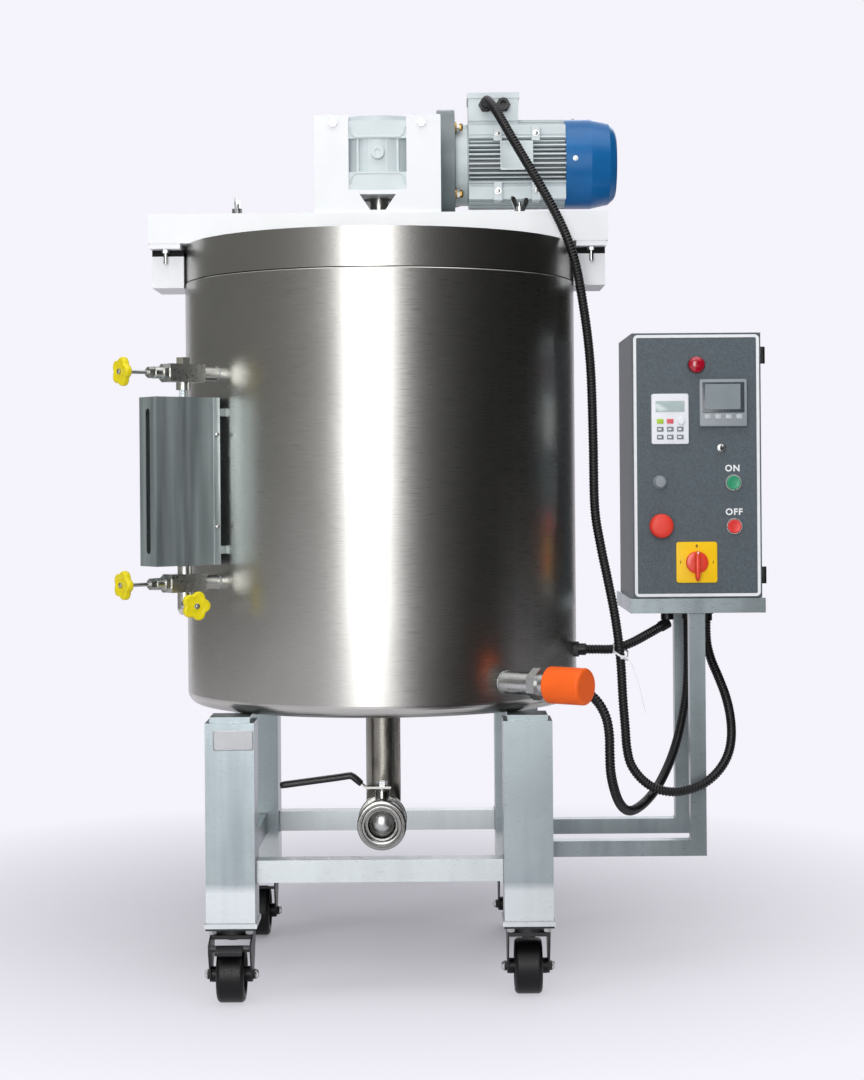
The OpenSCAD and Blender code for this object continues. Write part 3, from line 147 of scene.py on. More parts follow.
def plainFinish(name, rgb, rough=0.4, metal=0.0, vary=0.1, scale=30, grain=300, stretch=(1, 1, 1), bump=0.15,
                depth=0.0002, roughVary=0.08, coat=0.0, spec=0.5):
    mat, tree, shader, coords = newFinish(name)
    tone = linear(rgb)
    broad = spread(tree, noiseOf(tree, coords, scale, detail=5), 0, 1)
    fine = noiseOf(tree, coords, grain, stretch, detail=3)
    paintWith(tree, tintMix(tree, broad, shade(tone, 1 - vary), shade(tone, 1 + vary)))
    tree.links.new(spread(tree, fine, rough - roughVary, rough + roughVary), shader.inputs["Roughness"])
    setInputs(shader, Metallic=metal, Coat_Weight=coat, Specular_IOR_Level=spec)
    if bump:
        relief = addNode(tree, "ShaderNodeBump", Strength=bump, Distance=depth)
        tree.links.new(fine, relief.inputs["Height"])
        tree.links.new(relief.outputs["Normal"], shader.inputs["Normal"])
    return mat


def clearFinish(name, dark, light, scale, rough, coat=0.0):
    mat, tree, shader, coords = newFinish(name)
    paintWith(tree, tintMix(tree, noiseOf(tree, coords, scale), linear(dark), linear(light)))
    setInputs(shader, Roughness=rough, Coat_Weight=coat)
    return mat


def paintWith(tree, colour):
    tree.links.new(colour, tree.nodes["Principled BSDF"].inputs["Base Color"])


# what a finish needs for further coats: its paint, its coordinates and their X, Y and Z
def coatsOn(mat):
    tree = mat.node_tree
    paint = tree.nodes["Principled BSDF"].inputs["Base Color"].links[0].from_socket
    place = tree.nodes["Texture Coordinate"].outputs["Object"]
    parts = tree.nodes.new("ShaderNodeSeparateXYZ")
    tree.links.new(place, parts.inputs[0])
    return tree, paint, place, parts.outputs


# grey drive paint: painted shade at the roots of the fins, darker cast flanges
def driveGrey(flange=(0.131, 0.0185), axis=(0, 0.09, 1.557), root=0.072, tip=0.087, bodyX=0.172, rootShadeShare=0.85):
    mat = plainFinish("driveGrey", (206, 216, 217), 0.42, 0, 0.04, 18, 240, bump=0.1)
    tree, paint, place, parts = coatsOn(mat)
    # painted shade: the paint darkens towards the fin roots, where the fins shade each other
    deep = spread(tree, distanceFrom(tree, place, axis, (0, 1, 1)), rootShadeShare, 0.0, root, tip)
    onBody = mathOf(tree, "GREATER_THAN", parts["X"], bodyX)
    shadedFinRoots = overlay(tree, mathOf(tree, "MULTIPLY", deep, onBody), paint, (74, 82, 82))
    ring = mathOf(tree, "COMPARE", parts["X"], *flange)
    paintWith(tree, overlay(tree, ring, shadedFinRoots, (112, 122, 124)))
    return mat


# wrinkle paint of the box, black on the hinges beyond its right side
def boxPaint(hingeX=0.7262):
    mat = plainFinish("wrinklePaint", (74, 86, 92), 0.48, 0, 0.26, 330, 700, bump=0.55, depth=0.0004)
    tree, paint, place, parts = coatsOn(mat)
    paintWith(tree, overlay(tree, mathOf(tree, "GREATER_THAN", parts["X"], hingeX), paint, (14, 14, 15)))
    return mat


# rolled sheet of the gauge guard: long soft streaks as its polish gives
def guardSheet():
    mat = plainFinish("guardSheet", (186, 198, 198), 0.38, 0.75, 0.06, 12, 80, (1, 1, 0.05), 0.05, 0.0002, 0.06)
    tree, paint, place, parts = coatsOn(mat)
    streak = spread(tree, noiseOf(tree, place, 34, (1, 1, 0.06), 2), 0.0, 0.6, 0.42, 0.62)
    paintWith(tree, overlay(tree, streak, paint, (118, 128, 128)))
    return mat


# satin steel of the stand: long streaks, and a painted reflection that makes the feet and cross rails a little lighter
def standSteel(footZ=(0.198, 0.214), railX=0.222, railZ=0.2535, railReflectShare=0.4):
    mat = plainFinish("standSteel", (152, 162, 164), 0.34, 0.95, 0.07, 9, 90, (1, 1, 14), 0)
    tree, paint, place, parts = coatsOn(mat)
    streak = spread(tree, noiseOf(tree, place, 22, (1, 1, 0.1), 2), 0.0, 0.4, 0.45, 0.68)
    tone = overlay(tree, streak, paint, (112, 122, 125))
    # painted reflection: the feet lighter towards the floor
    tone = overlay(tree, spread(tree, parts["Z"], 0.5, 0.0, *footZ), tone, (236, 240, 240))
    # painted reflection: the front and back cross rails lighter, at a share of full strength
    inside = mathOf(tree, "COMPARE", parts["X"], 0.0, railX)
    onRail = mathOf(tree, "MULTIPLY", inside, mathOf(tree, "LESS_THAN", parts["Z"], railZ))
    paintWith(tree, overlay(tree, mathOf(tree, "MULTIPLY", onRail, railReflectShare), tone, (236, 240, 238)))
    return mat


tankTone = (188, 187, 182)
finishes = {
    "stainless": plainFinish("brushedTank", tankTone, 0.3, 1.0, 0.06, 6, 60, (0.6, 0.6, 60), 0.03, 0.0002, 0.05),
    "frame_steel": standSteel(),
    "bare_steel": plainFinish("machinedSteel", (190, 192, 190), 0.3, 1, 0.06, 40, 240, bump=0.03, roughVary=0.05),
    "white_paint": plainFinish("whitePaint", (234, 237, 238), 0.42, 0, 0.02, 12, 260, bump=0.05, spec=0.4),
    "grey_paint": driveGrey(),
    "blue_paint": plainFinish("fanBlue", (6, 96, 156), 0.34, 0, 0.08, 18, 220, bump=0.06, coat=0.1, spec=0.3),
    "box_paint": boxPaint(),
    "bronze": plainFinish("bronze", (160, 132, 76), 0.36, 1, 0.1),
    "black_rubber": plainFinish("padRubber", (18, 18, 19), 0.75, 0, 0.15, 40, 400, spec=0.3),
    "black_plastic": plainFinish("blackPlastic", (13, 13, 14), 0.36, 0, 0.15, 40, 400, bump=0.08, spec=0.4),
    "black_paint": plainFinish("blackPaint", (22, 22, 23), 0.4, 0, 0.15, 40, 300, bump=0.08),
    "wheel_nylon": plainFinish("wheelNylon", (10, 10, 11), 0.42, 0, 0.2, 50, 350, spec=0.3),
    "white_plastic": plainFinish("whitePlastic", (236, 239, 242), 0.45, 0, 0.03, 30, 400, bump=0.05),
    "grey_plastic": plainFinish("greyPlastic", (120, 126, 130), 0.5, 0, 0.05, 30, 400, bump=0.08),
    "yellow_plastic": plainFinish("yellowPlastic", (242, 214, 22), 0.35, 0, 0.05, 40, 300, bump=0.08),
    "orange_plastic": plainFinish("orangeCap", (246, 100, 16), 0.45, 0, 0.05, 30, 350, bump=0.12, spec=0.35),
    "red_plastic": plainFinish("redPlastic", (226, 52, 46), 0.35, 0, 0.05, 40, 300, bump=0.05),
    "green_plastic": plainFinish("greenPlastic", (40, 150, 105), 0.35, 0, 0.05, 40, 300, bump=0.05),
}
glassMat, tree, shader, coords = newFinish("gaugeGlass")
setInputs(shader, Transmission_Weight=0.92, IOR=1.47, Base_Color=(0.9, 0.96, 0.95, 1))
tree.links.new(spread(tree, noiseOf(tree, coords, 90), 0.02, 0.07), shader.inputs["Roughness"])
finishes["gauge_glass"] = glassMat

slotOf = {s["node"]: s["material_slot"] for s in frame["record"]["subparts"]}
for nodeName, obj in nodes.items():
    obj.data.materials.clear()
    obj.data.materials.append(finishes[slotOf[nodeName]])
coverSteel = plainFinish("coverSteel", tankTone, 0.3, 1.0, 0.05, 6, 60, (0.6, 40, 40), 0.03, 0.0002, 0.05)
ownFinish = {
    "front_lid": coverSteel,
    "rim_band": coverSteel,
    "gauge_valves": plainFinish("gaugeSteel", (206, 207, 202), 0.34, 1, 0.05, 40, 200, bump=0.02),
    "gauge_guard": guardSheet(),
    "outlet_pipe": plainFinish("pipeSteel", (150, 147, 138), 0.3, 1, 0.08, 14, 120, (1, 1, 0.2)),
}
for nodeName, finish in ownFinish.items():
    nodes[nodeName].data.materials[0] = finish
print("stage: finishes set")


# mesh helpers: a piece is built at its place, its object stays at the origin
def addPiece(name, mesh, body, replaced=()):
    obj = bpy.data.objects.new(name, mesh)
    scene.collection.objects.link(obj)
    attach(obj, body)
    if replaced:
        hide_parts(*replaced)
    return obj


def smoothMesh(bm, name, finish):
    bmesh.ops.recalc_face_normals(bm, faces=bm.faces)
    mesh = bpy.data.meshes.new(name)
    bm.to_mesh(mesh)
    bm.free()
    mesh.shade_smooth()
    mesh.materials.append(finish)
    return mesh


def pieceFrom(bm, name, slotName, finish=None, body="tank", replaced=(), sharpDeg=38):
    bmesh.ops.remove_doubles(bm, verts=bm.verts, dist=2e-6)
    mesh = smoothMesh(bm, name, finish or finishes[slotName])
    mesh.set_sharp_from_angle(angle=math.radians(sharpDeg))
    addPiece(name, mesh, body, replaced)


def evaluated(holder):
    scene.collection.objects.link(holder)
    bpy.context.view_layer.update()
    mesh = bpy.data.meshes.new_from_object(holder.evaluated_get(bpy.context.evaluated_depsgraph_get()))
    bpy.data.objects.remove(holder)
    return mesh


def aimAt(at, axis):
    return Matrix.Translation(at) @ Vector(axis).to_track_quat("Z", "Y").to_matrix().to_4x4()


def facing(deg):
    return Vector((math.cos(math.radians(deg)), math.sin(math.radians(deg)), 0))


def skin(bm, rings, closed=False):
    made = [[bm.verts.new(p) for p in ring] for ring in rings]
    for a, b in zip(made, made[1:] + (made[:1] if closed else [])):
        for j in range(len(a)):
            k = (j + 1) % len(a)
            bm.faces.new((a[j], a[k], b[k], b[j]))
    if not closed:
        bm.faces.new(list(reversed(made[0])))
        bm.faces.new(made[-1])


def heading(pts, k, closed=False):
    last, following = (k - 1, (k + 1) % len(pts)) if closed else (max(k - 1, 0), min(k + 1, len(pts) - 1))
    return (pts[following] - pts[last]).normalized()


def around(n):
    return [math.tau * j / n for j in range(n)]


# outlines, profiles and places on the panel are in mm, places in the frame in m
def inMm(place, x, y, z):
    return place @ (Vector((x, y, z)) / 1000)


def lathe(bm, place, profile, n=48, closed=False):
    skin(bm, [[inMm(place, r * math.cos(a), r * math.sin(a), z) for a in around(n)] for r, z in profile], closed)


def turned(name, slotName, turnings, finish=None, body="door", replaced=(), sharpDeg=38):
    bm = bmesh.new()
    for turning in turnings:
        lathe(bm, *turning)
    pieceFrom(bm, name, slotName, finish, body, replaced, sharpDeg)


def roundBox(bm, low, high, bevel, segments=2):
    low, high = Vector(low), Vector(high)
    size = Matrix.Diagonal((*(high - low), 1))
    made = bmesh.ops.create_cube(bm, size=1, matrix=Matrix.Translation((low + high) / 2) @ size)
    edges = {e for v in made["verts"] for e in v.link_edges}
    bmesh.ops.bevel(bm, geom=list(edges), offset=bevel, segments=segments, profile=0.5, affect="EDGES")


def roundRect(halfW, halfH, r, n=6):
    pts = []
    for quarter, (sx, sy) in enumerate(((1, 1), (-1, 1), (-1, -1), (1, -1))):
        for k in range(n + 1):
            a = math.radians(90 * quarter + 90 * k / n)
            pts.append((sx * (halfW - r) + r * math.cos(a), sy * (halfH - r) + r * math.sin(a)))
    return pts


def slab(bm, place, halfW, halfH, r, levels, closed=False, sameR=False, leastR=0.3):
    rings = []
    for z, inset in levels:
        corner = r if sameR else max(r - inset, leastR)
        rings.append([inMm(place, x, y, z) for x, y in roundRect(halfW - inset, halfH - inset, corner)])
    skin(bm, rings, closed)


# conduits: smooth path, carried frame, ribs
conduitSet = dict(
    diameter=0.018, pitch=0.0058, depth=0.0011, sides=14, perSpan=14, startSide=(0.2, 1, 0.1),
    ribForm=((0.08, 0), (0.5, 0), (0.62, 1), (0.96, 1)))
routeSet = dict(
    shellR=375, shellTop=1312, trayZ=677, boxX=603, glandEnd=22.4, motorGland=(209, 17.6, 1667),
    heaterDeg=-35, heaterZ=556, sensorDeg=-12, sensorZ=610)


def shellSide(deg, out, z):
    side = facing(deg) * (routeSet["shellR"] + out)
    return (side.x, side.y, z)


def beside(out, y, t):
    return (routeSet["shellR"] + out, y, routeSet["shellTop"] + t * (routeSet["trayZ"] - routeSet["shellTop"]))


def below(x, y, drop):
    return (routeSet["boxX"] + x, y, routeSet["trayZ"] - drop)


glandEnd = routeSet["glandEnd"]
motorSteps = [
    (0, 0, 0), (0, -27, 0), (2, -56, -4), (9, -83, -17), (20, -104, -37), (34, -117, -64),
    (52, -127, -98), (75, -138, -140), (101, -148, -187), (127, -156, -237)]
motorBeside = [
    (-18, -150, -0.107), (-3, -149, -0.028), (9, -141, 0.074), (19, -131, 0.184), (25, -123, 0.302),
    (28, -120, 0.491), (30, -120, 0.68), (40, -121, 0.79), (54, -122, 0.901), (67, -122, 1.011),
    (76, -122, 1.129), (80, -122, 1.247), (84, -122, 1.334)]
motorBelow = [
    (-141, -122, 252), (-133, -122, 283), (-113, -122, 310), (-86, -122, 328), (-53, -122, 334),
    (-20, -120, 329), (10, -115, 316), (36, -105, 294), (54, -90, 267), (63, -70, 235), (64, -46, 199),
    (59, -20, 164), (49, 3, 131), (38, 22, 100), (32, 34, 73), (30, 38, 47), (30, 38, glandEnd)]
motorRoute = [tuple(a + b for a, b in zip(routeSet["motorGland"], step)) for step in motorSteps]
motorRoute += [beside(*step) for step in motorBeside] + [below(*step) for step in motorBelow]
heaterSteps = [(glandEnd, 0), (46, 0), (78, -6), (107, -25), (125, -52), (132, -83), (133, -118)]
heaterBelow = [
    (-185, -286, 274), (-178, -272, 306), (-168, -251, 332), (-155, -223, 350), (-140, -192, 358),
    (-121, -151, 357), (-100, -106, 349), (-79, -62, 334), (-59, -21, 311), (-41, 16, 283),
    (-26, 47, 250), (-14, 72, 213), (-5, 89, 172), (-1, 98, 130), (0, 100, 89), (0, 100, 55),
    (0, 100, glandEnd)]
heaterRoute = [shellSide(routeSet["heaterDeg"], out, routeSet["heaterZ"] + drop) for out, drop in heaterSteps]
heaterRoute += [below(*step) for step in heaterBelow]
sensorRoute = [shellSide(routeSet["sensorDeg"], out, routeSet["sensorZ"]) for out in (glandEnd, 40)]
sensorRoute += [beside(67, -90, 1.104), below(-127, -85, 55), below(-93, -70, 39), below(-69.33, -58.16, 27.16)]


def smoothPath(route, perSpan):
    pts = [Vector(p) / 1000 for p in route]
    out = []
    for i in range(len(pts) - 1):
        a, b, c, d = pts[max(i - 1, 0)], pts[i], pts[i + 1], pts[min(i + 2, len(pts) - 1)]
        for k in range(perSpan):
            t = k / perSpan
            out.append(0.5 * (2 * b + (c - a) * t + (2 * a - 5 * b + 4 * c - d) * t * t
                              + (3 * b - a - 3 * c + d) * t ** 3))
    return out + [pts[-1]]


def pathMarks(path):
    marks = [0.0]
    for a, b in zip(path, path[1:]):
        marks.append(marks[-1] + (b - a).length)
    return marks


def conduitMesh(name, path):
    marks = pathMarks(path)
    ribs = round(marks[-1] / conduitSet["pitch"])
    pitch = marks[-1] / ribs
    stops = [((k + at) * pitch, low) for k in range(ribs) for at, low in conduitSet["ribForm"]]
    side, rings, i = Vector(conduitSet["startSide"]), [], 0
    for s, low in [(0.0, 0), *stops, (marks[-1], 0)]:
        while i < len(path) - 2 and marks[i + 1] < s:
            i += 1
        here = path[i].lerp(path[i + 1], (s - marks[i]) / (marks[i + 1] - marks[i]))
        ahead = (path[min(i + 2, len(path) - 1)] - path[max(i - 1, 0)]).normalized()
        side = (side - ahead * side.dot(ahead)).normalized()
        up = ahead.cross(side)
        r = conduitSet["diameter"] / 2 - conduitSet["depth"] * low
        rings.append([here + r * (math.cos(a) * side + math.sin(a) * up) for a in around(conduitSet["sides"])])
    bm = bmesh.new()
    skin(bm, rings)
    return smoothMesh(bm, name, finishes["black_plastic"])


for label, route in (("motor", motorRoute), ("heater", heaterRoute), ("sensor", sensorRoute)):
    path = smoothPath(route, conduitSet["perSpan"])
    mesh = conduitMesh(label + "ConduitRibs", path)
    conduit = addPiece(label + "ConduitRibs", mesh, "tank", [label + "_conduit"])

# the panel: u to the right and v upwards from the middle of the door, out from its face
panelMiddle = (603, -80, 957.5)


def panelFrame(u, v, out=0):
    mx, my, mz = panelMiddle
    return Matrix.Translation(Vector((mx + u, my - out, mz + v)) / 1000) @ standUp


def panelPart(name, slotName, at, slabs, finish=None, replaced=(), body="door"):
    bm = bmesh.new()
    for u, v, *form in slabs:
        slab(bm, panelFrame(at[0] + u, at[1] + v), *form)
    pieceFrom(bm, name, slotName, finish, body, replaced)


wordSet = dict(height=12.2, size=1.38, swell=0.045, space=1.16, thick=0.0002, lift=0.3)


def panelWord(word, u, v, height, name, finish, out=0):
    curve = bpy.data.curves.new(name, "FONT")
    curve.body = word
    curve.align_x = "CENTER"
    curve.align_y = "CENTER"
    curve.size = height * wordSet["size"] / 1000
    curve.offset = height * wordSet["swell"] / 1000
    curve.space_character = wordSet["space"]
    curve.extrude = wordSet["thick"]
    mesh = evaluated(bpy.data.objects.new(name + "Curve", curve))
    mesh.transform(panelFrame(u, v, out + wordSet["lift"]))
    mesh.materials.clear()
    mesh.materials.append(finish)
    addPiece(name, mesh, "door")


lineWhite = plainFinish("panelWhite", (236, 240, 240), 0.5, 0, 0.03, 60, 500, bump=0.04)
borderSlab = (0, 0, 119.7, 249.2, 8.5, ((0, 0), (0.5, 0), (0.5, 5.6), (0, 5.6)), True)
panelPart("doorBorderLine", "white_plastic", (0, 0), [borderSlab], lineWhite)
for word, u, v in (("ON", 67.5, -6), ("OFF", 70, -89)):
    panelWord(word, u, v, wordSet["height"], word.lower() + "Word", lineWhite)

# pilot lamp: bright ring and a faceted lens
lampSetting = dict(
    at=(0, 192), ring=[(17, 0), (17, 1.8), (16.6, 3), (15.9, 3.4), (15.7, 0)], lens=15.5, skirt=7.5,
    dome=7.2, facets=20)
place = panelFrame(*lampSetting["at"])
turned("lampRing", "bare_steel", [(place, lampSetting["ring"], 48, True)],
       plainFinish("lampRing", (96, 100, 102), 0.4, 0.6, 0.05))
lensForm = [(lampSetting["lens"], 0)]
for deg in range(0, 90, 15):
    a = math.radians(deg)
    lensForm.append((lampSetting["lens"] * math.cos(a), lampSetting["skirt"] + lampSetting["dome"] * math.sin(a)))
lensRed = clearFinish("lampLens", (128, 2, 22), (206, 18, 52), 220, 0.16, 0.6)
turned("lampLensDome", "red_plastic", [(place, lensForm, lampSetting["facets"])], lensRed, "door", ["pilot_lamp"], 12)

# drive keypad: body, screen, keys, small dial; a slab has its place, half sizes, corner and levels
keypadSet = dict(
    at=(-51, 89), body=(0, 0, 35.5, 48, 4, ((0, 0), (5.2, 0), (6.4, 0.7), (6.8, 1.8))),
    screen=(0, 23.8, 27.5, 10.5, 0.8, ((6.6, 0), (7.2, 0), (7.4, 0.3))),
    key=(6.4, 4.6, 1.4, ((6.6, 0), (7.8, 0.2), (8.3, 0.9))),
    mark=(3.2, 1.6, 0.6, ((8.3, 0), (8.55, 0.1))), markShift=-1,
    dialAt=(-30, 85), dial=[(7.2, 6.6), (7.2, 9.5), (6.6, 11.2), (4, 11.8)])
keypadAt = keypadSet["at"]
panelPart("keypadBody", "white_plastic", keypadAt, [keypadSet["body"]], replaced=["keypad"])
crystal = clearFinish("liquidCrystal", (168, 186, 184), (196, 208, 206), 60, 0.12)
panelPart("keypadScreen", "grey_plastic", keypadAt, [keypadSet["screen"]], crystal)
greyKeys = [(x, y) for x in (-19, 0, 19) for y in (-34.5, -19.5)]
keyTones = dict(
    Grey=((126, 133, 138), 0.5, greyKeys), Lime=((176, 214, 60), 0.45, [(-19, -4.5)]),
    Red=((226, 96, 104), 0.45, [(0, -4.5)]))
for tone, (rgb, rough, spots) in keyTones.items():
    keys = [(x, y, *keypadSet["key"]) for x, y in spots]
    panelPart("keypadKeys" + tone, "grey_plastic", keypadAt, keys, plainFinish("key" + tone, rgb, rough, 0, 0.05))
turned("keypadDial", "white_plastic", [(panelFrame(*keypadSet["dialAt"]), keypadSet["dial"], 32)])
marks = [(x + keypadSet["markShift"], y, *keypadSet["mark"]) for x, y in greyKeys]
panelPart("keypadMarks", "white_plastic", keypadAt, marks)

# temperature controller: frame, dark window, screen, key row
meterSet = dict(
    at=(50, 119), frame=(0, 0, 45, 45, 3, ((0, 0), (8.5, 0), (9.7, 0.6), (10.1, 1.8))),
    window=(0, 10, 40, 29, 1.5, ((9.9, 0), (10.4, 0), (10.5, 0.3))),
    pane=(-1, 11.5, 33.5, 24, 1, ((10.3, 0), (10.7, 0.1))), keyX=(-30, -10, 10, 30),
    key=(-26.5, 5.8, 4.5, 2, ((9.8, 0), (11.2, 0.2), (11.7, 1))))
meterKeys = [(x, *meterSet["key"]) for x in meterSet["keyX"]]
meterGrey = plainFinish("meterGrey", (146, 154, 158), 0.45, 0, 0.04, 40, 400, bump=0.06)
meterDark = plainFinish("meterDark", (66, 74, 78), 0.25, 0, 0.06)
meterScreen = plainFinish("meterScreen", (136, 146, 148), 0.14, 0, 0.05, 20, 60, bump=0)
meterKey = plainFinish("meterKey", (188, 194, 196), 0.4, 0, 0.04)
for name, finish, slabs, replaced in (("meterFrame", meterGrey, [meterSet["frame"]], ["temperature_controller"]),
                                      ("meterWindow", meterDark, [meterSet["window"]], ()),
                                      ("meterScreenPane", meterScreen, [meterSet["pane"]], ()),
                                      ("meterKeys", meterKey, meterKeys, ())):
    panelPart(name, "grey_plastic", meterSet["at"], slabs, finish, replaced)

# push buttons: bright bezels, hollowed caps
buttonSet = dict(on=((69, -33), "green_plastic"), off=((70, -116), "red_plastic"))
estopFrame, toggleFrame = panelFrame(-70, -114), panelFrame(47, 33)
bezelForm = [(16, 0), (16, 2.6), (15.6, 4.2), (14.9, 5), (13.6, 5), (13.15, 4.2), (13.15, -19), (14.8, -19), (14.8, 0)]
estopForm = [(18, 0), (18, 3), (17.2, 4), (8.5, 4), (8.5, -19), (9.8, -19), (9.8, 0)]
toggleForm = [(7.8, 0), (7.8, 1.6), (6.6, 2), (6, 2), (6, 7.8), (5.6, 8), (4.3, 8), (4.3, 0)]
nutForm = [(7.2, 2), (7.2, 4.6), (6.2, 5), (6.05, 2)]
capForm = [(3.5, -18.5), (3.5, -8), (12.9, -8), (12.9, 8.6), (12.4, 9.7), (11.2, 10), (9.2, 9.4), (5.2, 9), (1.5, 8.9)]
bezels = [(panelFrame(*at), bezelForm, 48, True) for at, slotName in buttonSet.values()]
bezels += [(estopFrame, estopForm, 48, True), (toggleFrame, toggleForm, 36, True)]
turned("panelBezels", "bare_steel", bezels, replaced=["button_bezels"])
turned("toggleNut", "bare_steel", [(toggleFrame, nutForm, 6, True)])
for label, (at, slotName) in buttonSet.items():
    turned(label + "ButtonCap", slotName, [(panelFrame(*at), capForm)], body=label, replaced=[label + "_button"])

# emergency button: turned mushroom head with a pressed edge
headForm = [
    (7.9, -13.8), (7.9, 10.2), (19, 10.2), (22.4, 11.8), (23, 14), (23, 17), (22.6, 20), (21.4, 22.8),
    (19, 24.6), (15, 25.6), (8, 25.9), (2, 26)]
estopRed = plainFinish("estopRed", (232, 58, 40), 0.45, 0, 0.05, 40, 350, bump=0.1)
turned("estopHead", "red_plastic", [(estopFrame, headForm, 64)], estopRed, "estop", ["estop_button"])

# speed knob with a fluted skirt: height, radius and depth of the flutes
knobSet = dict(at=(-71, -31), flutes=28, form=(
    (-9.5, 3.9, 0), (0.3, 3.9, 0), (0.4, 12.6, 0), (3.8, 12.6, 0),
    (4.5, 11.2, 0.5), (14.8, 10.6, 0.5), (16, 9.6, 0.2), (16.2, 8.2, 0)))
place = panelFrame(*knobSet["at"])
rings = []
for z, r, flute in knobSet["form"]:
    ring = []
    for a in around(knobSet["flutes"] * 4):
        fluted = r - flute * (0.5 + 0.5 * math.cos(knobSet["flutes"] * a))
        ring.append(inMm(place, fluted * math.cos(a), fluted * math.sin(a), z))
    rings.append(ring)
bm = bmesh.new()
skin(bm, rings)
knobGrey = plainFinish("knobGrey", (140, 147, 152), 0.42, 0, 0.05, 60, 400, bump=0.06)
pieceFrom(bm, "speedKnobCap", "grey_plastic", knobGrey, "speed", ["speed_knob"], 50)


# an oval whose corners are fuller the lower the power is
def fullOval(a, powerX, powerY):
    x, y = math.cos(a), math.sin(a)
    return math.copysign(abs(x) ** powerX, x), math.copysign(abs(y) ** powerY, y)


# main switch: rounded yellow plate, red knob with a raised grip
switchSet = dict(
    at=(-2, -184), thick=4, gripHalf=6, gripUp=22.2, gripDown=35.5, taper=0.35, mark=31,
    knob=[(3.9, -13.8), (3.9, 0.4), (21, 0.4), (21, 7.2), (20.3, 8.6), (18.8, 9.2), (10, 9.3)],
    grip=((8.8, 1.0), (18, 0.92), (21.2, 0.80), (22.6, 0.60), (23, 0.3)),
    plate=(0, 0, 39, 39, 5, ((0, 0), (2.9, 0), (3.7, 0.5), (4, 1.4))),
    pointer=(0, 16.5, 1.2, 4.5, 0.6, ((26.5, 0), (26.95, 0.1))), letter=5.5)
su, sv = switchSet["at"]
plateYellow = plainFinish("plateYellow", (252, 204, 4), 0.4, 0, 0.04, 40, 350, bump=0.05, spec=0.3)
panelPart("switchPlate", "yellow_plastic", (su, sv), [switchSet["plate"]], plateYellow, ["main_switch_plate"])
bm = bmesh.new()
place = panelFrame(su, sv, switchSet["thick"])
lathe(bm, place, switchSet["knob"], 56)
grip = []
for x, y in (fullOval(a, 0.7, 0.8) for a in around(40)):
    grip.append((switchSet["gripHalf"] * x, (switchSet["gripUp"] if y > 0 else switchSet["gripDown"]) * y))
skin(bm, [
    [inMm(place, x * s, y * (1 - (1 - s) * switchSet["taper"]), z) for x, y in grip]
    for z, s in switchSet["grip"]])
switchRed = plainFinish("switchRed", (232, 62, 34), 0.32, 0, 0.05, 40, 350, bump=0.05, coat=0.2)
pieceFrom(bm, "switchKnobGrip", "red_plastic", switchRed, "main_switch", ["main_switch_knob"])
panelPart("switchPointer", "white_plastic", (su, sv), [switchSet["pointer"]], body="main_switch")
inkMat = plainFinish("plateInk", (50, 44, 20), 0.6, 0, 0.05, 40, 300, bump=0)
for word, sx, sy, name in (("0", 0, 1, "switchZero"), ("1", 1, 0, "switchOne"), ("1", -1, 0, "switchOneLeft")):
    panelWord(word, su + sx * switchSet["mark"], sv + sy * switchSet["mark"], switchSet["letter"], name, inkMat,
              switchSet["thick"])
print("stage: panel dressed")

# handwheels: five rounded lobes, hollowed face, hub nut and stem
gaugeOut, drainOut = facing(218.0), facing(-64.5)
wheelSet = dict(
    r=23.4, lobe=3.3, lobes=5, soft=0.04, steps=80, stem=3.5,
    hub=[(8.5, -3.8), (8.8, -3), (8.8, 1.2), (8.5, 1.6)], nut=[(5.5, 11), (5.5, 14), (4.8, 14.6)],
    tip=[(2.6, 14), (2.6, 15.4), (2, 15.8)])
# place, axis and length of the stem
wheels = dict(
    upper=(gaugeOut * 0.565 + Vector((0, 0, 1.131)), gaugeOut, 72),
    lower=(gaugeOut * 0.565 + Vector((0, 0, 0.751)), gaugeOut, 72),
    drain=(gaugeOut * 0.445 + drainOut * 0.054 + Vector((0, 0, 0.712)), drainOut, 30))
# inset, height and share of the lobes that each ring keeps
wheelForm = [
    (12, 1.2, 0.2), (6, 0.2, 1), (2.2, 0.3, 1), (0.6, 1.8, 1), (0, 4.2, 1), (0, 8.8, 1), (0.7, 11.2, 1),
    (2.4, 12.6, 1), (5, 12.8, 1), (8.4, 11.8, 0.5), (10, 11.2, 0.15), (14, 11.2, 0)]


def lobeRing(place, inset, z, keep):
    out = []
    soft = wheelSet["soft"]
    for a in around(wheelSet["steps"]):
        wave = 2 * math.sqrt((math.cos(wheelSet["lobes"] / 2 * a) ** 2 + soft) / (1 + soft)) - 1
        r = wheelSet["r"] + wheelSet["lobe"] * keep * wave - inset
        out.append(inMm(place, r * math.cos(a), r * math.sin(a), z))
    return out


wheelYellow = plainFinish("wheelYellow", (230, 213, 8), 0.36, 0, 0.05, 60, 300, bump=0.1, spec=0.4)
for label, (at, axis, back) in wheels.items():
    place, body = aimAt(at, axis), label + "_handwheel"
    bm = bmesh.new()
    skin(bm, [lobeRing(place, *form) for form in wheelForm])
    lathe(bm, place, wheelSet["hub"], 40)
    pieceFrom(bm, label + "HandwheelLobes", "yellow_plastic", wheelYellow, body, ["handwheel_" + label], 45)
    stem = [(wheelSet["stem"], -back), (wheelSet["stem"], 1)]
    turnings = [(place, stem, 24), (place, wheelSet["nut"], 6), (place, wheelSet["tip"], 20)]
    turned(label + "HandwheelStem", "bare_steel", turnings, body=body)
print("stage: handwheels made")


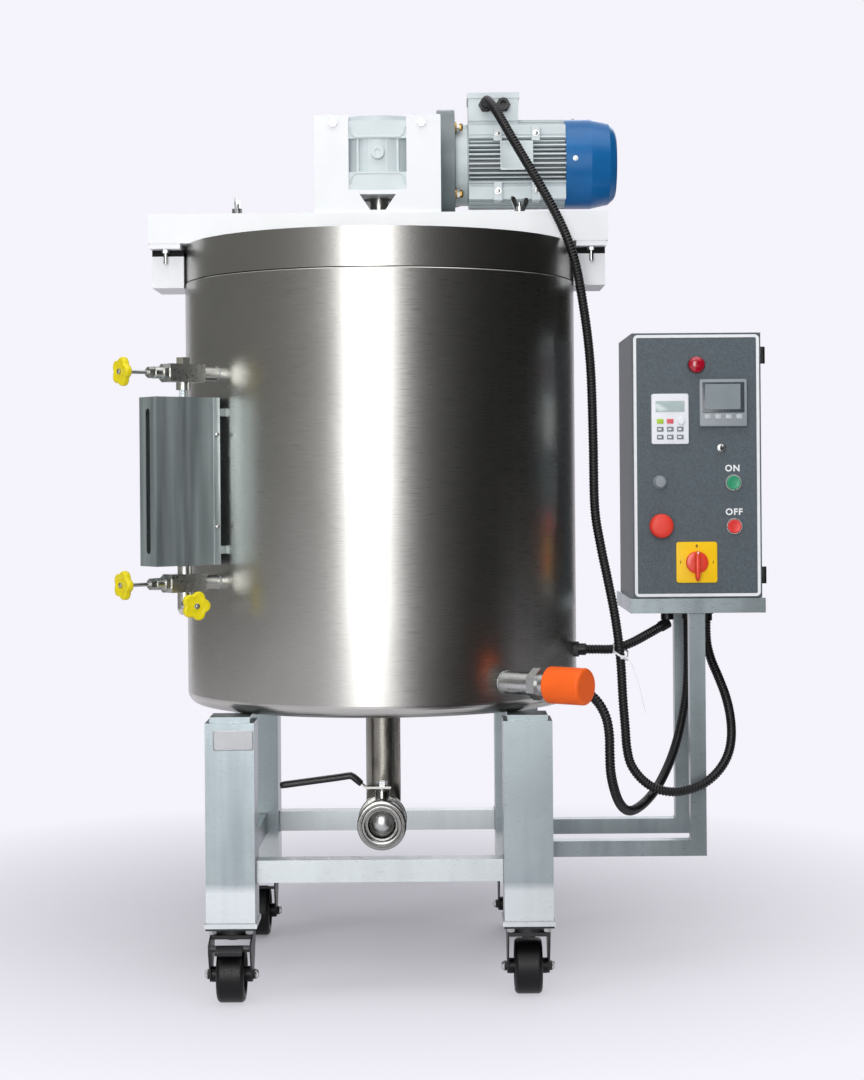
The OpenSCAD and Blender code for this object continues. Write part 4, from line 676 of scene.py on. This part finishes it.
# node trees that put a form on every place: what goes in, and the last steps to the painted pieces
def startTree(name, sockets):
    tree = bpy.data.node_groups.new(name, "GeometryNodeTree")
    for label, kind, value in (("Places", "Geometry", None), *sockets, ("Finish", "Material", None)):
        sock = tree.interface.new_socket(label, in_out="INPUT", socket_type="NodeSocket" + kind)
        if value is not None:
            sock.default_value = value
    tree.interface.new_socket("Pieces", in_out="OUTPUT", socket_type="NodeSocketGeometry")
    return tree, tree.links.new, tree.nodes.new("NodeGroupInput").outputs


def endTree(tree, start, places, form):
    put, real, paint, end = [tree.nodes.new(kind) for kind in (
        "GeometryNodeInstanceOnPoints", "GeometryNodeRealizeInstances", "GeometryNodeSetMaterial", "NodeGroupOutput")]
    link = tree.links.new
    link(places, put.inputs["Points"])
    link(form, put.inputs["Instance"])
    link(put.outputs["Instances"], real.inputs["Geometry"])
    link(real.outputs["Geometry"], paint.inputs["Geometry"])
    link(start["Finish"], paint.inputs["Material"])
    link(paint.outputs["Geometry"], end.inputs["Pieces"])
    return put


def throughTree(name, mesh, tree, values):
    holder = bpy.data.objects.new(name, mesh)
    mod = holder.modifiers.new("pieces", "NODES")
    mod.node_group = tree
    for item in tree.interface.items_tree:
        if item.name in values:
            mod[item.identifier] = values[item.name]
    made = evaluated(holder)
    made.shade_smooth()
    return made


# screw heads: a head on every spot, along the spot's own axis, on a washer
def screwTree(washerSides=20):
    tree, link, start = startTree("screwHeads", (("Head Radius", "Float", 0.004), ("Head Height", "Float", 0.003),
                                                 ("Washer Radius", "Float", 0.006), ("Sides", "Int", 18)))
    axis = addNode(tree, "GeometryNodeInputNamedAttribute", Name="axis")
    axis.data_type = "FLOAT_VECTOR"
    align = tree.nodes.new("FunctionNodeAlignRotationToVector")
    align.axis = "Z"
    link(axis.outputs["Attribute"], align.inputs["Vector"])
    join = tree.nodes.new("GeometryNodeJoinGeometry")
    height, radius, washer = start["Head Height"], start["Head Radius"], start["Washer Radius"]
    for wide, low, high, depth, lift in ((washer, 1, 0.96, 0.3, 0.0), (radius, 1, 0.97, 0.7, 0.3),
                                         (radius, 0.97, 0.72, 0.22, 1.0)):
        cone = addNode(tree, "GeometryNodeMeshCone", Vertices=washerSides)
        if wide is radius:
            link(start["Sides"], cone.inputs["Vertices"])
        for sock, size, share in (("Radius Bottom", wide, low), ("Radius Top", wide, high), ("Depth", height, depth)):
            link(mathOf(tree, "MULTIPLY", size, share), cone.inputs[sock])
        shift = tree.nodes.new("ShaderNodeCombineXYZ")
        link(mathOf(tree, "MULTIPLY", height, lift), shift.inputs["Z"])
        move = tree.nodes.new("GeometryNodeTransform")
        link(cone.outputs["Mesh"], move.inputs["Geometry"])
        link(shift.outputs["Vector"], move.inputs["Translation"])
        link(move.outputs["Geometry"], join.inputs["Geometry"])
    put = endTree(tree, start, start["Places"], join.outputs["Geometry"])
    link(align.outputs["Rotation"], put.inputs["Rotation"])
    return tree


screwNodes = screwTree()
# radius and height of the head, radius of the washer, sides of the head
screwSet = dict(
    fan=(0.0036, 0.003, 0.0052, 18), guard=(0.0040, 0.0034, 0.0046, 18), pad=(0.0048, 0.0026, 0.0064, 6),
    flange=(0.0078, 0.0130, 0.0104, 6), rivet=(0.0013, 0.0008, 0.0016, 18), axle=(0.0074, 0.0042, 0.0094, 6))


def putScrews(name, kind, spots, body="tank", slotName="bare_steel"):
    mesh = bpy.data.meshes.new(name + "Spots")
    mesh.from_pydata([tuple(at) for at, axis in spots], [], [])
    attr = mesh.attributes.new("axis", "FLOAT_VECTOR", "POINT")
    for k, (at, axis) in enumerate(spots):
        attr.data[k].vector = Vector(axis).normalized()
    values = dict(zip(("Head Radius", "Head Height", "Washer Radius", "Sides"), screwSet[kind]))
    made = throughTree(name + "Spots", mesh, screwNodes, {**values, "Finish": finishes[slotName]})
    made.set_sharp_from_angle(angle=math.radians(30))
    addPiece(name, made, body)


motorAxis, front, upward = Vector((0, 0.09, 1.557)), Vector((0, -1, 0)), Vector((0, 0, 1))


def roundMotor(x, r, turnsDeg):
    outs = [facing(deg).zxy for deg in turnsDeg]
    return [(motorAxis + out * r + Vector((x, 0, 0)), out) for out in outs]


putScrews("fanCoverScrews", "fan", roundMotor(x=0.382, r=0.0872, turnsDeg=(90, 180, 330)))
gaugeSide = Vector((-gaugeOut.y, gaugeOut.x, 0))
guardSet = dict(
    inner=0.3862, outer=0.4000, half=0.029, low=0.7835, high=1.0865, screwR=0.3932, screwSide=0.0296,
    screwZ=(1.020, 0.852), levels=((-0.0004, 0), (0.00056, 0), (0.0008, 0.0004)))
guardSpots = [
    (gaugeOut * guardSet["screwR"] + sign * gaugeSide * guardSet["screwSide"] + upward * z, sign * gaugeSide)
    for z in guardSet["screwZ"] for sign in (1, -1)]
putScrews("guardScrews", "guard", guardSpots)
padSpots = [(Vector((x, 0.002, z)), front) for x in (0.231, 0.305) for z in (1.6065, 1.4945)]
putScrews("motorPadBolts", "pad", padSpots)
flangeSpots = [(at, Vector((1, 0, 0))) for at, out in roundMotor(x=0.148, r=0.092, turnsDeg=(-45, 45, 135, 225))]
putScrews("flangeBoltHeads", "flange", flangeSpots, slotName="bronze")

# thin fins along the motor: one, turned to its place and spun about the motor's axis
finSet = dict(count=30, startDeg=6, low=0.073, high=0.0872, halfThick=0.0011, ends=(0.176, 0.363), bevel=0.0006)
bm = bmesh.new()
roundBox(bm, motorAxis + Vector((finSet["ends"][0], -finSet["halfThick"], -finSet["high"])),
         motorAxis + Vector((finSet["ends"][1], finSet["halfThick"], -finSet["low"])), finSet["bevel"])
firstTurn = Matrix.Rotation(math.radians(finSet["startDeg"]), 3, "X")
bmesh.ops.rotate(bm, cent=motorAxis, matrix=firstTurn, verts=bm.verts)
bmesh.ops.spin(
    bm, geom=bm.verts[:] + bm.edges[:] + bm.faces[:], cent=motorAxis, axis=(1, 0, 0),
    steps=finSet["count"] - 1, angle=math.tau * (1 - 1 / finSet["count"]), use_duplicate=True)
pieceFrom(bm, "motorFins", "grey_paint")

# cast lips and the plug on the front of the gearbox
gearSet = dict(
    front=-0.0887, lipR=0.0024, flat=0.7, lips=((1.6065, -1), (1.4985, 1)), plugFace=-0.0907, plugZ=1.557,
    plug=[(12.8, 0), (12.8, 4.6), (11.8, 5.5), (6.4, 5.5), (5.4, 4.6), (5.4, 0)])
lipPath = [
    (-0.052, 0), (-0.0505, 0.009), (-0.047, 0.016), (-0.041, 0.0195), (0.041, 0.0195), (0.047, 0.016),
    (0.0505, 0.009), (0.052, 0)]
bm = bmesh.new()
for lipZ, side in gearSet["lips"]:
    pts = [Vector((x, gearSet["front"], lipZ + side * up)) for x, up in lipPath]
    rings = []
    for k, p in enumerate(pts):
        across = heading(pts, k).cross(front)
        rings.append([p + gearSet["lipR"] * (across * math.cos(a) + gearSet["flat"] * front * math.sin(a))
                      for a in around(10)])
    skin(bm, rings)
lathe(bm, aimAt((0, gearSet["plugFace"], gearSet["plugZ"]), front), gearSet["plug"], 48, True)
pieceFrom(bm, "gearLips", "grey_paint")


# bare plates with a raised edge
def edgedPlate(name, finish, middle, halfW, halfH, r, levels):
    bm = bmesh.new()
    slab(bm, Matrix.Translation(middle) @ standUp, halfW, halfH, r, levels, sameR=True)
    pieceFrom(bm, name, "bare_steel", finish)


plateSet = dict(
    middle=(0.268, 0.0020, 1.563), rivetY=0.0012, rivetX=0.0285, rivetZ=0.0245,
    levels=((0, 0), (0.7, 0), (0.9, 0.3), (0.9, 1.6), (0.7, 1.9)))
plateTone = plainFinish("motorPlate", (206, 216, 216), 0.45, 0.35, 0.03, 30, 200, (6, 1, 1), 0.02)
edgedPlate("motorPlate", plateTone, plateSet["middle"], 32, 28, 2, plateSet["levels"])
plateX, _, plateZ = plateSet["middle"]
plateSpots = [
    (Vector((plateX + sx * plateSet["rivetX"], plateSet["rivetY"], plateZ + sz * plateSet["rivetZ"])), front)
    for sx in (-1, 1) for sz in (-1, 1)]
putScrews("motorPlateRivets", "rivet", plateSpots)

# flanges of the gauge guard on both of its sides
bm = bmesh.new()
for sign in (-1, 1):
    rings = []
    for lift, inset in guardSet["levels"]:
        inner, outer = guardSet["inner"] + inset, guardSet["outer"] - inset
        low, high = guardSet["low"] + inset, guardSet["high"] - inset
        rings.append([gaugeOut * r + gaugeSide * (sign * (guardSet["half"] + lift)) + upward * z
                      for r, z in ((inner, low), (outer, low), (outer, high), (inner, high))])
    skin(bm, rings)
flangeTone = plainFinish("guardFlange", (186, 197, 197), 0.42, 0.75, 0.06, 14, 90, (1, 1, 0.1))
pieceFrom(bm, "guardFlanges", "stainless", flangeTone)

# axle nuts on the forks of the casters
casterSet = dict(x=0.267, y=0.287, trail=0.025, axleZ=0.05, reach=0.0432)
for label, sx, sy in (("fl", -1, -1), ("fr", 1, -1), ("rl", -1, 1), ("rr", 1, 1)):
    axle = Vector((sx * casterSet["x"], sy * casterSet["y"] + sx * casterSet["trail"], casterSet["axleZ"]))
    axleSpots = [(axle + Vector((k * casterSet["reach"], 0, 0)), Vector((k, 0, 0))) for k in (-1, 1)]
    putScrews(label + "AxleNuts", "axle", axleSpots, "swivel_" + label)

# ball valve: turned body with a beaded mouth and a threaded socket
valveSet = dict(
    middle=(0.005, -0.308, 0.320), threads=6, threadStep=1.6,
    neck=[(13, 39.5), (13, 55.5), (11.8, 58), (6.4, 58), (6.4, 39.5)])
mouthForm = [
    (25, -46), (42.5, -46), (44, -44.5), (44, -33.5), (42.8, -32), (40, -31.8), (40, 30.6), (42.8, 32),
    (44, 33.5), (44, 42), (43, 43.6), (41.2, 44.2), (38.8, 44.2), (38, 43.2), (36.6, 43.2), (35.8, 44.6),
    (34.6, 45.8), (32.6, 46), (30.4, 45.8), (29.2, 45), (28.7, 44)]
for k in range(valveSet["threads"]):
    mouthForm += [(28.1, 43.4 - valveSet["threadStep"] * k), (28.7, 42.6 - valveSet["threadStep"] * k)]
mouthForm += [(28.1, 34), (25, 33.8), (25, 20.5), (30.2, 11.5), (32.3, 0), (30.2, -11.5), (25, -20.5)]
place = Matrix.Translation(valveSet["middle"])
valveChrome = plainFinish("valveChrome", (150, 150, 146), 0.17, 1, 0.06, 40, 240, bump=0.03)
turnings = [(place @ standUp, mouthForm, 72, True), (place, valveSet["neck"], 40, True)]
turned("valveBodyTurned", "stainless", turnings, valveChrome, "tank", ["valve_body"], 32)

# lever grip: a soft sleeve over the bent lever, its line in x and z with its fullness
gripSet = dict(origin=(0.005, -0.308, 0.381), halfW=0.0136, halfT=0.0056, power=0.55)
gripLine = [
    (-37, 8.1, 0.88), (-41.5, 12.1, 0.97), (-46.2, 16.1, 1), (-51.5, 20.5, 1), (-56, 22.8, 1), (-62, 22.2, 1),
    (-80, 19.6, 1), (-120, 14.5, 1), (-160, 9.3, 1), (-175, 7.4, 1), (-180.5, 6.7, 0.94), (-182.6, 6.4, 0.8)]
gripAt = [Vector(gripSet["origin"]) + Vector((x, 0, z)) / 1000 for x, z, fit in gripLine]
rings = []
for k, (x, z, fit) in enumerate(gripLine):
    ahead = heading(gripAt, k)
    up = Vector((-ahead.z, 0, ahead.x))
    rings.append([gripAt[k] + Vector((0, gripSet["halfW"] * fit * wide, 0)) + up * (gripSet["halfT"] * fit * high)
                  for wide, high in (fullOval(a, gripSet["power"], gripSet["power"]) for a in around(28))])
bm = bmesh.new()
skin(bm, rings)
pieceFrom(bm, "leverSleeve", "black_plastic", body="valve", replaced=["lever_grip"], sharpDeg=50)

# bare plate on the front left leg
legPlate = dict(
    middle=(-0.260, -0.331, 0.471), halfW=36, halfH=18, r=4,
    levels=((0, 0), (1.1, 0), (1.4, 0.4), (1.4, 1.4), (0.9, 1.8)))
legTone = plainFinish("plateSteel", (150, 152, 153), 0.35, 0.9, 0.05, 30, 200, (1, 1, 10))
edgedPlate("legPlate", legTone, **legPlate)
print("stage: screws and plate set")


# weld beads: overlapping scales along an edge path
def weldTree(sizes=(("Min", 0.85), ("Max", 1.12)), seed=7):
    tree, link, start = startTree("weldScales", (("Scale Size", "Float", 0.003), ("Scale Step", "Float", 0.0022)))
    curve = tree.nodes.new("GeometryNodeMeshToCurve")
    link(start["Places"], curve.inputs["Mesh"])
    steps = tree.nodes.new("GeometryNodeResampleCurve")
    steps.mode = "LENGTH"
    link(curve.outputs["Curve"], steps.inputs["Curve"])
    link(start["Scale Step"], steps.inputs["Length"])
    ball = addNode(tree, "GeometryNodeMeshIcoSphere", Subdivisions=2)
    link(start["Scale Size"], ball.inputs["Radius"])
    vary = addNode(tree, "FunctionNodeRandomValue", Seed=seed)
    vary.data_type = "FLOAT"
    for label, value in sizes:
        next(s for s in vary.inputs if s.name == label and s.type == "VALUE").default_value = value
    put = endTree(tree, start, steps.outputs["Curve"], ball.outputs["Mesh"])
    link(next(s for s in vary.outputs if s.type == "VALUE"), put.inputs["Scale"])
    return tree


weldNodes = weldTree()
weldSet = dict(stand=0.0022, tank=0.0018, step=0.8)
weldSteel = plainFinish("weldSteel", (168, 170, 170), 0.38, 1, 0.15, 160, 500, bump=0.2)


def layWelds(name, seams, size):
    points, edges = [], []
    for seam in seams:
        first = len(points)
        points += [tuple(p) for p in seam]
        edges += [(first + k, first + k + 1) for k in range(len(seam) - 1)]
    mesh = bpy.data.meshes.new(name + "Seams")
    mesh.from_pydata(points, edges, [])
    made = throughTree(name + "Seams", mesh, weldNodes, {
        "Scale Size": size, "Scale Step": size * weldSet["step"], "Finish": weldSteel})
    addPiece(name, made, "tank")


# a rectangle between two opposite corners, along one axis first
def rectSeam(a, b, first):
    one = tuple(b[k] if k == first else a[k] for k in range(3))
    two = tuple(a[k] if k == first else b[k] for k in range(3))
    return [a, one, b, two, a]


legSet = dict(half=0.044, rail=0.02, low=0.212, high=0.252, foot=0.143)
armSet = dict(sides=(-0.066, 0.2), wide=0.03, start=0.287, low=0.212, high=0.242, post=(0.588, 0.618), top=0.677)
h, rail, low, high, foot = legSet.values()
legX, legY = casterSet["x"], casterSet["y"]
seams = []
for sx in (-1, 1):
    for sy in (-1, 1):
        x, y = sx * (legX - h), sy * legY
        seams.append(rectSeam((x, y - rail, low), (x, y + rail, high), 1))
        x, y = sx * legX, sy * (legY - h)
        seams.append(rectSeam((x - rail, y, low), (x + rail, y, high), 0))
        x, y = sx * legX, sy * legY
        seams.append(rectSeam((x - h, y - h, foot), (x + h, y + h, foot), 0))
sides, wide, x, low, high, (near, outside), top = armSet.values()
for y in sides:
    far = y + wide
    seams.append(rectSeam((x, y, low), (x, far, high), 2))
    seams.append([(near, y, high), (near, far, high)])
    seams.append(rectSeam((near, y, top), (outside, far, top), 0))
layWelds("standWelds", seams, weldSet["stand"])


def shellSeam(at, axis, r, shellR=0.375, n=64, rounds=30, leastSlope=0.3):
    other = axis.cross(upward)
    out = []
    for k in range(n + 1):
        a = math.tau * k / n
        p = Vector(at) + upward * (r * math.cos(a)) + other * (r * math.sin(a))
        for step in range(rounds):
            gap = shellR - math.hypot(p.x, p.y)
            p = p + axis * gap / max(leastSlope, axis.dot(Vector((p.x, p.y, 0)).normalized()))
        out.append(p)
    return out


seamSet = dict(
    shellR=0.375, heaterOutDeg=-35, heaterAtDeg=-52, heaterZ=0.568, heaterR=0.020, gaugeZ=(0.751, 1.131),
    gaugeR=0.0125)
heaterAt = facing(seamSet["heaterAtDeg"]) * seamSet["shellR"] + upward * seamSet["heaterZ"]
tankSeams = [shellSeam(heaterAt, facing(seamSet["heaterOutDeg"]), seamSet["heaterR"])]
for z in seamSet["gaugeZ"]:
    tankSeams.append(shellSeam(gaugeOut * seamSet["shellR"] + upward * z, gaugeOut, seamSet["gaugeR"]))
layWelds("tankWelds", tankSeams, weldSet["tank"])

# white cable tie that gathers the two conduits under the box
tieSet = dict(
    a=(0.451, -0.122, 0.600), b=(0.455, -0.0885, 0.614), normal=(0.55, 0, 0.83), r=0.0158, width=0.0036,
    thick=0.0011, steps=24, tailNormal=(0.4, 0.3, 0.86), tailRun=(0.012, -0.006, 0.008),
    tailFall=(0, -0.002, -0.012), tailSteps=14, headLow=(0.0035, 0.004, 0.0035),
    headHigh=(0.0035, 0.002, 0.0035), headIn=0.001, headBevel=0.0008, tailStep=0.25)
ca, cb = Vector(tieSet["a"]), Vector(tieSet["b"])
normal = Vector(tieSet["normal"]).normalized()
along = (cb - ca)
along = (along - normal * along.dot(normal)).normalized()
across = normal.cross(along)
loop = []
for centre, sign in ((ca, 1), (cb, -1)):
    for k in range(tieSet["steps"] + 1):
        a = math.pi * k / tieSet["steps"]
        loop.append(centre + sign * tieSet["r"] * (math.cos(a) * across - math.sin(a) * along))


def strip(bm, pts, normal, closed):
    rings = []
    for k, p in enumerate(pts):
        out = heading(pts, k, closed).cross(normal)
        rings.append([p + normal * (tieSet["width"] / 2 * sx) + out * (tieSet["thick"] / 2 * sy)
                      for sx, sy in ((-1, -1), (1, -1), (1, 1), (-1, 1))])
    skin(bm, rings, closed)


bm = bmesh.new()
strip(bm, loop, normal, True)
head = loop[tieSet["steps"] // 2] - along * tieSet["headIn"]
run, fall = Vector(tieSet["tailRun"]), Vector(tieSet["tailFall"])
tailAt = [tieSet["tailStep"] * k for k in range(tieSet["tailSteps"])]
tail = [head + front * tieSet["headIn"] + run * t + fall * t * t for t in tailAt]
strip(bm, tail, Vector(tieSet["tailNormal"]).normalized(), False)
roundBox(bm, head - Vector(tieSet["headLow"]), head + Vector(tieSet["headHigh"]), tieSet["headBevel"])
pieceFrom(bm, "cableTie", "white_plastic")
print("stage: welds and tie laid")

# floor, backdrop and light
roomSet = dict(
    backdrop=(245, 243, 251), floor=(205, 204, 210), darkest=(0.0, 0.6, 0.0), near=0.2, far=1.5,
    corners=((-14, -9, 0), (14, -9, 0), (14, 26, 0), (-14, 26, 0)), ambient=0.42, aim=(0, 0, 0.95))


def stagePlane(name, corners):
    mesh = bpy.data.meshes.new(name)
    mesh.from_pydata(corners, [], [(0, 1, 2, 3)])
    obj = bpy.data.objects.new(name, mesh)
    scene.collection.objects.link(obj)
    return obj


def seenRays(tree):
    paths = tree.nodes.new("ShaderNodeLightPath").outputs
    return mathOf(tree, "MAXIMUM", paths["Is Camera Ray"], paths["Is Glossy Ray"]), paths["Is Transmission Ray"]


backdropTone = (*linear(roomSet["backdrop"]), 1)
floor = stagePlane("floor", roomSet["corners"])
floorMat, tree, shader, coords = newFinish("paleFloor")
setInputs(shader, Base_Color=(*linear(roomSet["floor"]), 1), Roughness=0.7)
# real shadows from the lamps near the tank, and a painted shadow halo: the floor keeps its grey lit tone near the
# darkest point and fades to glowing backdrop colour further off
away = spread(tree, distanceFrom(tree, coords, roomSet["darkest"]), 0, 1, roomSet["near"], roomSet["far"])
glow = addNode(tree, "ShaderNodeEmission", Strength=1.0, Color=backdropTone)
mixer = tree.nodes.new("ShaderNodeMixShader")
tree.links.new(mathOf(tree, "MULTIPLY", away, seenRays(tree)[0]), mixer.inputs[0])
tree.links.new(shader.outputs[0], mixer.inputs[1])
tree.links.new(glow.outputs[0], mixer.inputs[2])
tree.links.new(mixer.outputs[0], tree.nodes["Material Output"].inputs["Surface"])
floor.data.materials.append(floorMat)

world = bpy.data.worlds.new("studio")
scene.world = world
world.use_nodes = True
tree = world.node_tree
back = tree.nodes["Background"]
setInputs(back, Color=backdropTone)
bright = mathOf(tree, "MAXIMUM", *seenRays(tree))
tree.links.new(spread(tree, bright, roomSet["ambient"], 1.0, 0, 1), back.inputs["Strength"])

lampSet = dict(
    key=((-0.55, -5.6, 1.9), (2.0, 3.4), 128), top=((0.2, -1.2, 4.6), (4.0, 3.2), 76),
    left=((-4.6, -2.6, 2.2), (1.6, 3.0), 42), back=((1.5, 4.5, 3.2), (3.5, 2.5), 60))
for label, (place, size, power) in lampSet.items():
    lamp = bpy.data.lights.new(label + "Lamp", "AREA")
    lamp.shape = "RECTANGLE"
    lamp.size, lamp.size_y = size
    lamp.energy = power
    holder = bpy.data.objects.new(label + "Lamp", lamp)
    aim = Vector(roomSet["aim"]) - Vector(place)
    holder.matrix_world = Matrix.Translation(place) @ aim.to_track_quat("-Z", "Y").to_matrix().to_4x4()
    scene.collection.objects.link(holder)
    holder.visible_glossy = label != "left"

# grey cards that only the metal sees, as in the photograph's studio; the low one lies on the floor
cardSet = dict(
    right=((5.2, -4.6), (2.6, 5.0), 0.012), left=((-5.6, -5.2), (-3.4, 5.0), 0.2),
    leftNear=((-2.6, -6.6), (-5.6, -5.2), 0.26), rightNear=((1.5, -6.8), (5.2, -4.6), 0.03),
    low=((0.45, -4.8), (5.2, -0.75), 0.02))
for label, (a, b, value) in cardSet.items():
    corners = [(*a, -0.01), (*b, -0.01), (*b, 5), (*a, 5)]
    if label == "low":
        corners = [(x, y, 0.004) for x, y in ((a[0], a[1]), (b[0], a[1]), (b[0], b[1]), (a[0], b[1]))]
    card = stagePlane(label + "Card", corners)
    for ray in ("visible_camera", "visible_diffuse", "visible_shadow", "visible_transmission"):
        setattr(card, ray, False)
    mat, tree, shader, coords = newFinish(label + "CardTone")
    setInputs(shader, Base_Color=(0, 0, 0, 1), Specular_IOR_Level=0,
              Emission_Color=(value, value, value * 0.97, 1), Emission_Strength=1)
    card.data.materials.append(mat)
print("stage: studio set")
